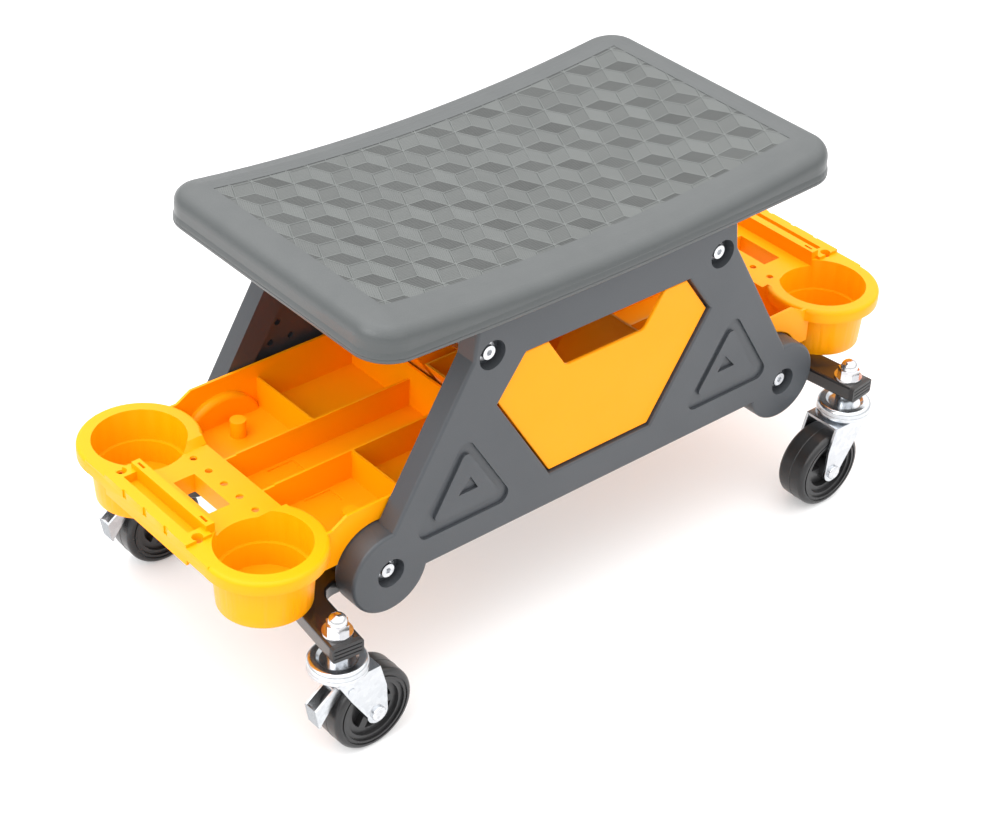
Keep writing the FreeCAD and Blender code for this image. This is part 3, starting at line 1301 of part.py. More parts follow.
def build_panel_bolts():
    """Eight socket bolts with washers, four through each side panel into the ties."""
    body = start_body("panel_bolts")
    body.AllowCompound = True
    washer_y = recess_floor_y + washer_height
    head_y = washer_y + bolt_head_height
    places = []
    for sign in (-1, 1):
        places += [(upper_tie_x * sign, upper_tie_z), (foot_x * sign, foot_z)]
    for side, mirror in (("near", False), ("far", True)):
        def face(name, y):
            return sketch_on(body, "XZ", "bolt_" + name + "_" + side, -y if mirror else y)

        washers = face("washers", recess_floor_y)
        heads = face("heads", washer_y)
        shanks = face("shanks", washer_y)
        sockets = face("sockets", head_y + overrun)
        for x, z in places:
            draw_circle(washers, (x, z), washer_radius)
            draw_circle(heads, (x, z), bolt_head_radius)
            draw_circle(shanks, (x, z), bolt_radius)
            draw_line(sockets, hexagon(x, z, bolt_socket_flats))
        pad(body, washers, washer_height, "washers_" + side, backwards=mirror)
        pad(body, heads, bolt_head_height, "heads_" + side, backwards=mirror)
        pad(body, shanks, bolt_length, "shanks_" + side, backwards=not mirror)
        pocket(body, sockets, "sockets_" + side, bolt_socket_depth + overrun, backwards=mirror)
    return finish(body)


def build_tappers(label, places, head_top, length):
    """Self-tapping screws that point up, one solid at each place."""
    body = start_body(label)
    body.AllowCompound = True
    heads = sketch_on(body, "XY", label + "_head_circles", head_top)
    shanks = sketch_on(body, "XY", label + "_shank_circles", head_top)
    sockets = sketch_on(body, "XY", label + "_socket_outlines", head_top - tapper_head_height - overrun)
    for x, y in places:
        draw_circle(heads, (x, y), tapper_head_radius)
        draw_circle(shanks, (x, y), tapper_radius)
        draw_line(sockets, hexagon(x, y, tapper_socket_flats))
    pad(body, heads, tapper_head_height, label + "_heads", backwards=True)
    pad(body, shanks, length, label + "_shanks")
    pocket(body, sockets, label + "_sockets", tapper_socket_depth + overrun, backwards=True)
    return finish(body)


def four_places(x, y):
    return [(x * right, y * up) for right in (-1, 1) for up in (-1, 1)]


def build_caster(name, x, y):
    """All the pieces of the first caster, by the names that its copies follow."""
    leg_face = fork_gap / 2 + fork_sheet
    axle_x = x + wheel_trail
    return {
        "stem": build_stem(name + "stem", x, y),
        "fork": build_fork(name + "fork", x, y),
        "axle": build_pin(name + "axle", axle_radius, leg_face, axle_head_radius, axle_head_height,
                          axle_x, y, wheel_z),
        "tyre": build_tyre(name + "tyre", axle_x, y),
        "hub": build_hub(name + "hub", axle_x, y),
    }


def copy_caster(first, name, across, up):
    """The same pieces at another corner; those on the right trail the other way."""
    turn = 0.0 if across < 0 else 180.0
    for piece, original in first.items():
        if piece in ("stem", "fork"):
            copy_piece(original, name + piece, swivel_x * across, swivel_y * up, ZERO, turn)
        else:
            copy_piece(original, name + piece, (swivel_x - wheel_trail) * across, swivel_y * up,
                       wheel_z, turn)


build_seat()
near_panel = build_panel("side_panel_near")
copy_piece(near_panel, "side_panel_far", turn=180.0)
near_rail = build_rail("frame_rail_near")
copy_piece(near_rail, "frame_rail_far", turn=180.0)
left_tray = build_tray("tray_left")
copy_piece(left_tray, "tray_right", turn=180.0)
near_drawer = build_drawer("drawer_near")
copy_piece(near_drawer, "drawer_far", turn=180.0)
build_cradle()
for end, across in (("left", -1), ("right", 1)):
    build_tie("upper_tie_" + end, panel_inner_y, seat_screw_y, upper_tie_x * across, upper_tie_z)
    build_tie("lower_tie_" + end, foot_inner_y, post_y, foot_x * across, foot_z)
    for side, up in (("near", -1), ("far", 1)):
        build_rail_cap("rail_cap_%s_%s" % (end, side), across, up)
first_caster = build_caster("caster_left_near_", -swivel_x, -swivel_y)
copy_caster(first_caster, "caster_left_far_", -1, 1)
plain_fork = build_fork("caster_right_near_fork", swivel_x, -swivel_y, turn=180.0, braked=False)
first_caster["fork"] = plain_fork
copy_caster(first_caster, "caster_right_far_", 1, 1)
del first_caster["fork"]
copy_caster(first_caster, "caster_right_near_", 1, -1)
near_lever = build_brake_lever("brake_lever_near", -swivel_x, -swivel_y)
copy_piece(near_lever, "brake_lever_far", -swivel_x, swivel_y)
for side, up in (("near", -1), ("far", 1)):
    build_pin("brake_pin_" + side, brake_pivot_radius, fork_gap / 2 + fork_sheet, brake_pin_head_radius,
              brake_pin_head_height, -swivel_x, swivel_y * up, brake_pivot_z)
build_caster_nuts()
build_panel_bolts()
build_tappers("seat_screws", four_places(upper_tie_x, seat_screw_y), upper_tie_z - tie_radius,
              tie_radius * 2 + tapper_bite)
build_tappers("tray_screws", four_places(foot_x, post_y), rail_bottom_z,
              tray_floor_z - rail_bottom_z + tapper_bite)
build_tappers("rail_screws", four_places(tray_foot_x, rail_offset) + four_places(cradle_foot_x, rail_offset),
              rail_bottom_z, rail_height + tapper_bite)

doc.recompute()
for item in doc.Objects:
    if "Invalid" in item.State or "Error" in item.State:
        raise RuntimeError("%s did not recompute: %s" % (item.Label, item.State))
for body in pieces:
    if body.Shape.isNull() or not body.Shape.isValid():
        raise RuntimeError("%s has no valid shape" % body.Label)

os.makedirs("parts", exist_ok=True)
for body in pieces:
    body.Shape.exportStep("parts/%s.step" % body.Label)
    print("%-26s %2d solids %10.0f mm3" % (body.Label, len(body.Shape.Solids), body.Shape.Volume))
print(len(pieces), "pieces")
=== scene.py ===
# %% [markdown]
# # A rolling workshop seat
#
# The seat stands on four casters. Two moulded side panels carry a saddle-shaped seat, and
# yellow trays and drawers fill the space below it. The engineering model gives every rigid
# part at its real size, so this lesson dresses that model: it adds the moulded relief, the
# seams and the small pressed details, and it paints every part with a material made of nodes.

# %% Open the model
import math

import bmesh
import bpy
import numpy as np
from mathutils import Matrix, Vector


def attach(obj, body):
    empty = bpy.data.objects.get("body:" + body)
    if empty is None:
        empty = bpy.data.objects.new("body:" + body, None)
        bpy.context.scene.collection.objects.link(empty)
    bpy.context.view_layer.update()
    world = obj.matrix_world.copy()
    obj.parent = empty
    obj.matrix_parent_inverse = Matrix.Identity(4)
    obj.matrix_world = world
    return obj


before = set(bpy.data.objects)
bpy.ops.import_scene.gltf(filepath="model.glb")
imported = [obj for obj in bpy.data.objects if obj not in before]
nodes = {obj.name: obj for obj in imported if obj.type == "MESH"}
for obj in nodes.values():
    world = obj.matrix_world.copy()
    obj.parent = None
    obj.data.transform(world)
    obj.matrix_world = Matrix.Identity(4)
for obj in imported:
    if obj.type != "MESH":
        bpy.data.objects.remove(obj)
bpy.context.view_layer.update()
MM = 0.001
print("parts in the model:", len(nodes))

# %% [markdown]
# ## Camera
#
# A camera can be turned by eye until the picture looks right, or it can be worked out from
# points whose real places are known. The second way is used here: three unit vectors say
# where the picture's right, up and back directions point in the room, and the camera's place
# is written in metres. The small shift moves the picture's middle, as a cropped photo does.

# %% Camera at the photograph's angle
camera_data = bpy.data.cameras.new("view")
camera_data.sensor_width = 36.0
camera_data.lens = 82.4
camera_data.shift_x = 0.0397
camera_data.shift_y = -0.0197
camera_data.clip_end = 50.0
camera = bpy.data.objects.new("view", camera_data)
bpy.context.scene.collection.objects.link(camera)
right = (0.77073, -0.63657, 0.02759)
upward = (0.34364, 0.45174, 0.82331)
backward = (-0.53656, -0.62507, 0.56692)
turn = Matrix((right, upward, backward)).transposed().to_4x4()
camera.matrix_world = Matrix.Translation((-1.09527, -1.22434, 1.27208)) @ turn
bpy.context.scene.camera = camera

# %% [markdown]
# ## Helpers for nodes
#
# Materials are trees of nodes. One short function adds a node and wires it, another opens a
# reusable group with named sockets. A group is built once and placed in many materials with
# other numbers, which keeps parts of one family alike.

# %% Functions that add nodes and groups
def feed(tree, node, inputs):
    """Gives each named or numbered socket of a node a value or another node's output."""
    for socket, value in inputs.items():
        if isinstance(value, bpy.types.NodeSocket):
            tree.links.new(value, node.inputs[socket])
        else:
            node.inputs[socket].default_value = value


def add_node(tree, kind, inputs=None, **settings):
    """One node with its settings, fed with its inputs."""
    made = tree.nodes.new("ShaderNode" + kind)
    for name, value in settings.items():
        setattr(made, name, value)
    feed(tree, made, inputs or {})
    return made


def open_group(name, inputs, outputs):
    """An empty node group: inputs are (label, kind, value) and outputs are (label, kind)."""
    tree = bpy.data.node_groups.new(name, "ShaderNodeTree")
    for label, kind, value in inputs:
        socket = tree.interface.new_socket(label, in_out="INPUT", socket_type="NodeSocket" + kind)
        if value is not None:
            socket.default_value = value
    for label, kind in outputs:
        tree.interface.new_socket(label, in_out="OUTPUT", socket_type="NodeSocket" + kind)
    return tree, tree.nodes.new("NodeGroupInput"), tree.nodes.new("NodeGroupOutput")


def calculate(tree, operation, first, second=0.0, clamp=False):
    """The result of a Math node."""
    made = add_node(tree, "Math", {0: first, 1: second}, operation=operation, use_clamp=clamp)
    return made.outputs[0]


def blend_colors(tree, share, first, second):
    """The result of a Mix node, whose colour sockets are number 6 and 7 in and number 2 out."""
    made = add_node(tree, "Mix", {0: share, 6: first, 7: second}, data_type="RGBA")
    return made.outputs[2]


def noise(tree, place, scale, detail=2.0, rough=0.5):
    """A fractal noise value between 0 and 1."""
    return add_node(tree, "TexNoise", {"Vector": place, "Scale": scale, "Detail": detail,
                                       "Roughness": rough}).outputs[0]


# %% [markdown]
# ## Effects shared by several finishes
#
# A moulding tool is spark-eroded or blasted, so moulded plastic has a fine grain. Its colour is
# slightly cloudy, and light dust lies on what faces up. Zinc plating has soft patches and
# faint scratches. Each of these is one group. It puts out colours, masks and heights only;
# the shader itself stays in the material.

# %% Grain of moulded plastic
grain, grain_in, grain_out = open_group(
    "moulded_grain",
    [("Place", "Vector", None), ("Grain size", "Float", 0.0008), ("Cloud size", "Float", 0.06)],
    [("Height", "Float"), ("Cloud", "Float")])
fine_scale = calculate(grain, "DIVIDE", 1.0, grain_in.outputs["Grain size"])
cloud_scale = calculate(grain, "DIVIDE", 1.0, grain_in.outputs["Cloud size"])
pits = add_node(grain, "TexVoronoi", {"Vector": grain_in.outputs["Place"], "Scale": fine_scale},
                feature="SMOOTH_F1")
fine = noise(grain, grain_in.outputs["Place"], fine_scale, 3.0, 0.6)
height = calculate(grain, "ADD", calculate(grain, "MULTIPLY", pits.outputs["Distance"], 0.6), fine)
grain.links.new(height, grain_out.inputs["Height"])
cloud = noise(grain, grain_in.outputs["Place"], cloud_scale, 3.0, 0.55)
grain.links.new(cloud, grain_out.inputs["Cloud"])
print(grain.name, len(grain.nodes), "nodes")

# %% [markdown]
# Dust settles only on what looks up. The upward part of the surface's normal is its mask, and a
# noise breaks the mask into patches. A mask could be painted by hand, but this one needs no
# painting and still fits when a part changes its shape.

# %% Dust on faces that look up
dust, dust_in, dust_out = open_group(
    "settled_dust",
    [("Place", "Vector", None), ("Color", "Color", (1, 1, 1, 1)),
     ("Dust", "Color", (0.5, 0.48, 0.45, 1)), ("Amount", "Float", 0.1)],
    [("Color", "Color"), ("Mask", "Float")])
dust_patches_per_metre = 45.0
facing = add_node(dust, "SeparateXYZ", {0: add_node(dust, "NewGeometry").outputs["Normal"]})
patch = noise(dust, dust_in.outputs["Place"], dust_patches_per_metre, 4.0, 0.65)
patchy = calculate(dust, "MULTIPLY", facing.outputs[2], patch, clamp=True)
lies = calculate(dust, "MULTIPLY", patchy, dust_in.outputs["Amount"], clamp=True)
dust.links.new(blend_colors(dust, lies, dust_in.outputs["Color"], dust_in.outputs["Dust"]),
               dust_out.inputs["Color"])
dust.links.new(lies, dust_out.inputs["Mask"])
print(dust.name, len(dust.nodes), "nodes")

# %% [markdown]
# Zinc plating grows in crystals, so its tone changes from patch to patch, and a patch that looks
# dull is also rougher. Cells of a Voronoi texture give the patches, and one value drives both
# the colour and the roughness, as on the real metal.

# %% Patches and scratches of zinc plating
plating, plating_in, plating_out = open_group(
    "zinc_patches",
    [("Place", "Vector", None), ("Patch size", "Float", 0.006),
     ("Bright", "Color", (0.86, 0.88, 0.9, 1)), ("Dull", "Color", (0.6, 0.62, 0.66, 1))],
    [("Color", "Color"), ("Rough", "Float"), ("Height", "Float")])
haze_per_metre = 260.0
least_rough, rough_change = 0.16, 0.12
patch_scale = calculate(plating, "DIVIDE", 1.0, plating_in.outputs["Patch size"])
crystals = add_node(plating, "TexVoronoi",
                    {"Vector": plating_in.outputs["Place"], "Scale": patch_scale})
tone = add_node(plating, "SeparateColor", {0: crystals.outputs["Color"]}).outputs[0]
haze = noise(plating, plating_in.outputs["Place"], haze_per_metre, 4.0, 0.6)
mixed = calculate(plating, "MULTIPLY", calculate(plating, "ADD", tone, haze), 0.5)
plate_color = blend_colors(plating, mixed, plating_in.outputs["Bright"], plating_in.outputs["Dull"])
plating.links.new(plate_color, plating_out.inputs["Color"])
dulled = calculate(plating, "MULTIPLY", mixed, rough_change)
plating.links.new(calculate(plating, "ADD", dulled, least_rough), plating_out.inputs["Rough"])
rolling_scale = (60, 60, 2400)
stretched = add_node(plating, "Mapping",
                     {"Vector": plating_in.outputs["Place"], "Scale": rolling_scale})
plating.links.new(noise(plating, stretched.outputs[0], 1.0, 2.0), plating_out.inputs["Height"])
print("shared effects:", [tree.name for tree in bpy.data.node_groups])

# %% [markdown]
# ## Finishes
#
# A recipe function keeps every plastic alike: it places the grain group, shifts the base
# colour a little with the cloud, lets dust lighten what faces up, and drives the bump. The
# numbers that stay the same all over a part, such as the strength of its shine or of its coat,
# are set on the shader's own sockets.

# %% Recipe for moulded plastic
grain_height = 0.4 * MM
scratch_height = 0.2 * MM
cloud_roughens, dust_roughens = 0.16, 0.5


def place_group(tree, group, values):
    """Puts a group into a tree and sets or wires its inputs."""
    made = tree.nodes.new("ShaderNodeGroup")
    made.node_tree = group
    feed(tree, made, values)
    return made


def new_material(name):
    """An empty material with a Principled shader: the tree, the shader and Object coordinates."""
    material = bpy.data.materials.new(name)
    material.use_nodes = True
    tree = material.node_tree
    shader = tree.nodes["Principled BSDF"]
    return material, tree, shader, add_node(tree, "TexCoord").outputs["Object"]


def tinted(color, factor):
    """A colour times a factor, opaque."""
    return (color[0] * factor, color[1] * factor, color[2] * factor, 1.0)


def moulded(name, color, rough, grain_size=0.0008, depth=0.02, cloud=0.1, dusty=0.06,
            settings=None, painted_shade_share=0.0):
    """Moulded plastic: grain, clouds, dust, and a share of painted shade from the tone attribute."""
    material, tree, shader, place = new_material(name)
    skin = place_group(tree, grain, {"Place": place, "Grain size": grain_size})
    clouds = skin.outputs["Cloud"]
    base = blend_colors(tree, clouds, tinted(color, 1 + cloud), tinted(color, 1 - cloud))
    # The tone attribute holds painted shade with a little random tone; the share darkens the colour
    # by it.
    if painted_shade_share:
        shade = add_node(tree, "Attribute", attribute_name="tone").outputs["Fac"]
        share = calculate(tree, "MULTIPLY", shade, painted_shade_share, clamp=True)
        base = blend_colors(tree, share, base, (0, 0, 0, 1))
    layer = place_group(tree, dust, {"Place": place, "Color": base, "Amount": dusty})
    tree.links.new(layer.outputs["Color"], shader.inputs["Base Color"])
    change = calculate(tree, "MULTIPLY", calculate(tree, "SUBTRACT", clouds, 0.5), cloud_roughens)
    dulled = calculate(tree, "ADD", calculate(tree, "ADD", change, rough),
                       calculate(tree, "MULTIPLY", layer.outputs["Mask"], dust_roughens), clamp=True)
    tree.links.new(dulled, shader.inputs["Roughness"])
    bump = add_node(tree, "Bump", {"Strength": depth, "Distance": grain_height,
                                   "Height": skin.outputs["Height"]})
    tree.links.new(bump.outputs[0], shader.inputs["Normal"])
    feed(tree, shader, settings or {})
    return material


# %% [markdown]
# Metal takes the other group. It is fully metallic, so its base colour tints what it reflects,
# and the patches show as a change of gloss more than of colour.

# %% Recipe for plated metal
def plated(name, bright, dull, patch_size=0.006, depth=0.05):
    """Plated steel: patches of tone, roughness that follows them, and faint rolling marks."""
    material, tree, shader, place = new_material(name)
    skin = place_group(tree, plating, {"Place": place, "Patch size": patch_size,
                                       "Bright": (*bright, 1), "Dull": (*dull, 1)})
    tree.links.new(skin.outputs["Color"], shader.inputs["Base Color"])
    tree.links.new(skin.outputs["Rough"], shader.inputs["Roughness"])
    bump = add_node(tree, "Bump", {"Strength": depth, "Distance": scratch_height,
                                   "Height": skin.outputs["Height"]})
    tree.links.new(bump.outputs[0], shader.inputs["Normal"])
    shader.inputs["Metallic"].default_value = 1.0
    return material


# %% [markdown]
# Now the recipes are called with numbers. Each plastic has a colour, a roughness, a grain size
# in metres, the strength of its bump, and how much cloud and dust it shows. The yellow is kept
# almost free of blue and has a weak shine, because it stays a deep yellow even where it is
# brightest. The painted tubes have a clear coat.

# %% The finishes of this seat
seat_grey = moulded("seat_grey", (0.061, 0.067, 0.068), 0.34, 0.0011, 0.35, 0.05, 0.04)
# The tread's grey takes painted shade from the tone attribute, by a share of 0.6.
tread_grey = moulded("tread_grey", (0.108, 0.116, 0.113), 0.5, 0.0009, 0.2, 0.05, 0.04, painted_shade_share=0.6)
panel_grey = moulded("panel_grey", (0.045, 0.05, 0.057), 0.4, 0.0009, 0.3, 0.05, 0.03)
tray_yellow = moulded("tray_yellow", (1.0, 0.35, 0.0), 0.36, 0.0012, 0.12, 0.03, 0.01,
                       {"Specular IOR Level": 0.16})
drawer_yellow = moulded("drawer_yellow", (1.0, 0.32, 0.0), 0.42, 0.0009, 0.2, 0.03, 0.01,
                         {"Specular IOR Level": 0.16})
frame_black = moulded("frame_black", (0.012, 0.011, 0.011), 0.22, 0.002, 0.15, 0.1, 0.02,
                      {"Coat Weight": 0.6, "Coat Roughness": 0.08})
cap_black = moulded("cap_black", (0.016, 0.016, 0.017), 0.45, 0.0007, 0.3, 0.1, 0.03)
tyre_black = moulded("tyre_black", (0.009, 0.009, 0.01), 0.3, 0.0009, 0.25, 0.1, 0.04)
hub_black = moulded("hub_black", (0.022, 0.022, 0.023), 0.34, 0.0009, 0.2, 0.1, 0.03)
zinc = plated("bright_zinc", (0.66, 0.68, 0.7), (0.53, 0.55, 0.58), 0.004)
nut_chrome = plated("polished_nut", (0.72, 0.72, 0.73), (0.58, 0.58, 0.6), 0.01, 0.02)
screw_steel = plated("screw_steel", (0.75, 0.76, 0.78), (0.5, 0.51, 0.53), 0.003, 0.05)

# %% [markdown]
# The parts have names that say what they are, so the start of a name picks the finish, and on a
# caster the last word does. The first match counts, so longer names come first in the list.

# %% Which part wears which finish
wardrobe = (
    ("seat_shell", seat_grey), ("side_panel", panel_grey), ("tray_screws", screw_steel),
    ("rail_screws", screw_steel), ("seat_screws", screw_steel), ("panel_bolts", screw_steel),
    ("tray_", tray_yellow), ("drawer_cradle", panel_grey), ("drawer_", drawer_yellow),
    ("rail_cap", cap_black), ("frame_rail", frame_black), ("upper_tie", frame_black),
    ("lower_tie", frame_black), ("caster_nuts", nut_chrome), ("brake_", zinc),
)
caster_wardrobe = {"stem": zinc, "fork": zinc, "axle": screw_steel, "tyre": tyre_black,
                   "hub": hub_black}


def finish_for(name):
    """The finish of a part, by the start of its name, or by its end on a caster."""
    for start, finish in wardrobe:
        if name.startswith(start):
            return finish
    return caster_wardrobe[name.rsplit("_", 1)[1]]


for name, part in nodes.items():
    part.data.materials.clear()
    part.data.materials.append(finish_for(name))
print("dressed parts:", len(nodes))

# %% [markdown]
# ## Soft edges
#
# A moulded or pressed part never has a knife edge: each corner keeps a radius of half a
# millimetre or so, which catches a thin line of light. The parts arrive as loose triangles, so
# one modifier welds them, one joins flat neighbours into whole faces, and one rounds what is
# still sharp.

# %% Modifiers that round sharp edges
def round_edges(part, width, steps=2, angle=32.0):
    """Welds a part, merges its flat faces and rounds its sharp edges by a width in metres."""
    part.modifiers.new("weld", "WELD").merge_threshold = 1e-6
    flat = part.modifiers.new("flat_faces", "DECIMATE")
    flat.decimate_type = "DISSOLVE"
    flat.angle_limit = math.radians(0.6)
    bevel = part.modifiers.new("soft_edges", "BEVEL")
    bevel.width = width
    bevel.segments = steps
    bevel.limit_method = "ANGLE"
    bevel.angle_limit = math.radians(angle)
    bevel.harden_normals = True


edge_widths = {"tray_left": 0.0011, "tray_right": 0.0011, "drawer_near": 0.0005,
               "drawer_far": 0.0005, "caster_nuts": 0.0004, "brake_lever_near": 0.0004,
               "brake_lever_far": 0.0004}
fork_edge_width = 0.0006
for name, part in nodes.items():
    width = fork_edge_width if name.endswith("_fork") else edge_widths.get(name)
    if width:
        round_edges(part, width)
        print("rounded", name, "by", width, "m")

# %% [markdown]
# ## Surfaces worked out with numpy
#
# Every new piece is a grid of points that a formula gives, and neighbouring points make the
# faces. A ring or a bar then has its doubles merged and its faces turned outwards, because its
# formula may well run round the other way. The seat's tiles face outwards as they are built.

# %% Grids into meshes
def mesh_from(name, points, faces):
    """A mesh from an array of points and a list of faces."""
    mesh = bpy.data.meshes.new(name)
    mesh.from_pydata(points.reshape(-1, 3).tolist(), [], faces)
    return mesh


def grid_faces(rows, columns, wrap_u=False, wrap_v=False):
    """Quads between neighbours of a grid; each wrap joins its last line to its first."""
    across = np.arange(columns if wrap_u else columns - 1)
    down = np.arange(rows if wrap_v else rows - 1)
    v, u = np.meshgrid(down, across, indexing="ij")
    after_v, after_u = (v + 1) % rows, (u + 1) % columns
    corners = [v * columns + u, v * columns + after_u,
               after_v * columns + after_u, after_v * columns + u]
    return np.stack(corners, -1).reshape(-1, 4)


def turn_outwards(mesh, merge=1e-6):
    """Merges doubles and turns the faces of closed shells outwards."""
    work = bmesh.new()
    work.from_mesh(mesh)
    bmesh.ops.remove_doubles(work, verts=work.verts, dist=merge)
    bmesh.ops.recalc_face_normals(work, faces=work.faces)
    work.to_mesh(mesh)
    work.free()


def add_piece(name, mesh, material, body):
    """Puts a finished mesh into the scene, on the CAD body that carries it."""
    made = bpy.data.objects.new(name, mesh)
    bpy.context.scene.collection.objects.link(made)
    mesh.materials.append(material)
    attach(made, body)
    print(name, len(mesh.polygons), "faces")


# %% [markdown]
# ## The seat's tread
#
# The seat's top has a sunk field filled with a very old tiling: rhombi in threes, which the eye
# reads as stacked blocks. Thin walls stand between the rhombi at the level of the seat, and fine
# ridges cross each floor. A bump map could fake it, but the walls catch light at a low angle, so
# it is real relief here. Each rhombus is one closed tile: a grid of heights, a wall round it and
# one face below that lies inside the seat. The tiles at the border are cut by four planes.

# %% Shape of the seat's top
# Metres: half the seat's length, and its height at the ends and in the middle.
seat_half_length = 0.246
seat_end_z, seat_middle_z = 0.3744, 0.357


def arc_height(x, half_length, end_z, middle_z):
    """Height at x of the arc through (0, middle) and (half length, end)."""
    rise = end_z - middle_z
    radius = (half_length ** 2 + rise ** 2) / (2 * rise)
    return middle_z + radius - np.sqrt(radius ** 2 - x ** 2)


# %% [markdown]
# The lattice was measured on the photograph: the length of a rhombus's side along the seat, its
# rise across the seat, and the place of one point where three rhombi meet. A wall takes a small
# share of a tile's side, and half of it lies in the neighbouring tile.

# %% Sizes and grid of one tile
tile_side, tile_rise = 18.66 * MM, 19.0 * MM
field_x, field_y = 215.97 * MM, 108.37 * MM
lattice_x, lattice_y = 79.6 * MM, 67.4 * MM
wall_share, crest_share = 0.038, 0.02
floor_drop, sunk_depth = 0.55 * MM, 1.0 * MM
ridge_count = 9
ridge_shape = np.array([0.22, 0.6, 1.0])
wall_lines = [0, 1, -2, -1]


def ridged_steps(ridge_height):
    """Places 0 to 1 across a tile, and heights: a wall's top, ridges, and a wall's top again."""
    pitch = (1 - 2 * wall_share) / ridge_count
    start = wall_share + pitch * np.arange(ridge_count)[:, None]
    places = (start + pitch * ridge_shape).ravel()
    crest = ridge_height - floor_drop
    heights = np.tile([crest, crest, -floor_drop], ridge_count)
    return (np.r_[0.0, crest_share, wall_share, places, 1 - crest_share, 1.0],
            np.r_[0.0, 0.0, -floor_drop, heights, 0.0, 0.0])


def tile_grid(origins, along, across, ridge_height):
    """Points of many tiles: origin + s along + t across, at the seat's top plus the relief."""
    t, relief = ridged_steps(ridge_height)
    s = np.array([0.0, crest_share, wall_share, 1 - wall_share, 1 - crest_share, 1.0])
    plan = (origins[:, None, None] + s[None, None, :, None] * np.array(along)
            + t[None, :, None, None] * np.array(across))
    heights = np.repeat(relief[:, None], len(s), 1)
    heights[:, wall_lines] = 0.0
    top = arc_height(plan[..., 0], seat_half_length, seat_end_z, seat_middle_z)
    return np.concatenate([plan, (top + heights)[..., None]], -1)


def rim_of(rows, columns):
    """Indices round the edge of a grid, counter-clockwise."""
    index = np.arange(rows * columns).reshape(rows, columns)
    return np.r_[index[0], index[1:, -1], index[-1, -2::-1], index[-2:0:-1, 0]]


def tiles(grid):
    """Closed tiles: each grid, a wall from its rim down to a copy of it, and one face below."""
    count, rows, columns = grid.shape[:3]
    top = grid.reshape(count, -1, 3)
    rim = rim_of(rows, columns)
    foot = top[:, rim].copy()
    foot[..., 2] -= sunk_depth
    points = np.concatenate([top, foot], 1)
    lower = rows * columns + np.arange(len(rim))
    walls = np.stack([rim, lower, np.roll(lower, -1), np.roll(rim, -1)], -1)
    quads = np.concatenate([grid_faces(rows, columns), walls])
    shift = np.arange(count) * points.shape[1]
    faces = (quads[None] + shift[:, None, None]).reshape(-1, 4).tolist()
    faces += (lower[::-1][None] + shift[:, None]).tolist()
    return points.reshape(-1, 3), faces


# %% [markdown]
# Three kinds of tile share each point of the lattice. They differ in the two directions that span
# them, in the height of their ridges and in their tone, and a seeded random number shifts the tone
# of each tile a little. The tone of a kind is painted shade: it darkens the kinds whose ridges the
# light leaves darker, and only the small random shift is a tone of the plastic itself. The columns
# and rows reach past the field, and what lies wholly outside it is dropped. The tone is stored on
# the points, and the material reads it. The walls keep tone 0, so they get no painted shade and
# stay the lightest lines.

# %% All the tiles
columns_used, rows_used = np.arange(-11, 7), np.arange(-6, 4)
column, row = np.meshgrid(columns_used, rows_used, indexing="ij")
centre_x = lattice_x + 1.5 * tile_side * column.ravel()
centre_y = lattice_y + 2 * tile_rise * row.ravel() + tile_rise * (column.ravel() % 2)
centres = np.stack([centre_x, centre_y], -1)
reach_x, reach_y = np.abs(centres).T
centres = centres[(reach_x < field_x + tile_side) & (reach_y < field_y + tile_rise)]
half = tile_side / 2
# The last number of each kind is its tone: painted shade on its floors.
tile_kinds = (
    (np.zeros(2), (tile_side, 0.0), (-half, tile_rise), 0.42 * MM, 0.8),
    (np.array([-half, -tile_rise]), (tile_side, 0.0), (half, tile_rise), 0.22 * MM, 0.45),
    (np.array([-half, -tile_rise]), (half, tile_rise), (-half, tile_rise), 0.22 * MM, 0.3),
)
tone_spread = 0.14
rng = np.random.default_rng(7)
all_points, all_faces, all_shades_and_tones = [], [], []
for offset, along, across, ridge_height, tone in tile_kinds:
    grid = tile_grid(centres + offset, along, across, ridge_height)
    points, faces = tiles(grid)
    base = sum(len(block) for block in all_points)
    all_faces += [[corner + base for corner in face] for face in faces]
    all_points.append(points)
    floors = np.ones(grid.shape[1:3])
    floors[wall_lines] = floors[:, wall_lines] = 0.0
    # Painted shade of the kind, shifted by a small random tone for each tile; the walls get none.
    kind_shades_and_tones = tone + rng.uniform(-tone_spread, tone_spread, len(centres))
    tile_shades_and_tones = kind_shades_and_tones[:, None] * floors.ravel()
    below = np.zeros((len(centres), len(points) // len(centres) - floors.size))
    all_shades_and_tones.append(np.concatenate([tile_shades_and_tones, below], 1).ravel())
tread_mesh = mesh_from("seat_tread", np.concatenate(all_points), all_faces)
shade_and_tone_layer = tread_mesh.attributes.new("tone", "FLOAT", "POINT")
shade_and_tone_layer.data.foreach_set("value", np.concatenate(all_shades_and_tones))

# %% [markdown]
# The field's border runs through tiles. Four planes cut them, and each cut is closed with a
# face, so that every tile stays a closed solid.

# %% Cut the tiles at the field's border
work = bmesh.new()
work.from_mesh(tread_mesh)
for place, normal in (((field_x, 0, 0), (1, 0, 0)), ((-field_x, 0, 0), (-1, 0, 0)),
                      ((0, field_y, 0), (0, 1, 0)), ((0, -field_y, 0), (0, -1, 0))):
    everything = work.verts[:] + work.edges[:] + work.faces[:]
    cut = bmesh.ops.bisect_plane(work, geom=everything, dist=1e-7, plane_co=place,
                                 plane_no=normal, clear_outer=True)
    rim_edges = [item for item in cut["geom_cut"] if isinstance(item, bmesh.types.BMEdge)]
    bmesh.ops.holes_fill(work, edges=rim_edges, sides=0)
work.to_mesh(tread_mesh)
work.free()
add_piece("seat_tread", tread_mesh, tread_grey, "base")

# %% [markdown]
# ## Lips and parting lines
#
# Where the two halves of a mould meet, they leave a thin line, and the seat's lower edge has a
# flared lip with such a line along it. A ring follows the seat's outline: its profile is given
# as steps outwards and upwards, and the outline's own normals say which way is out.

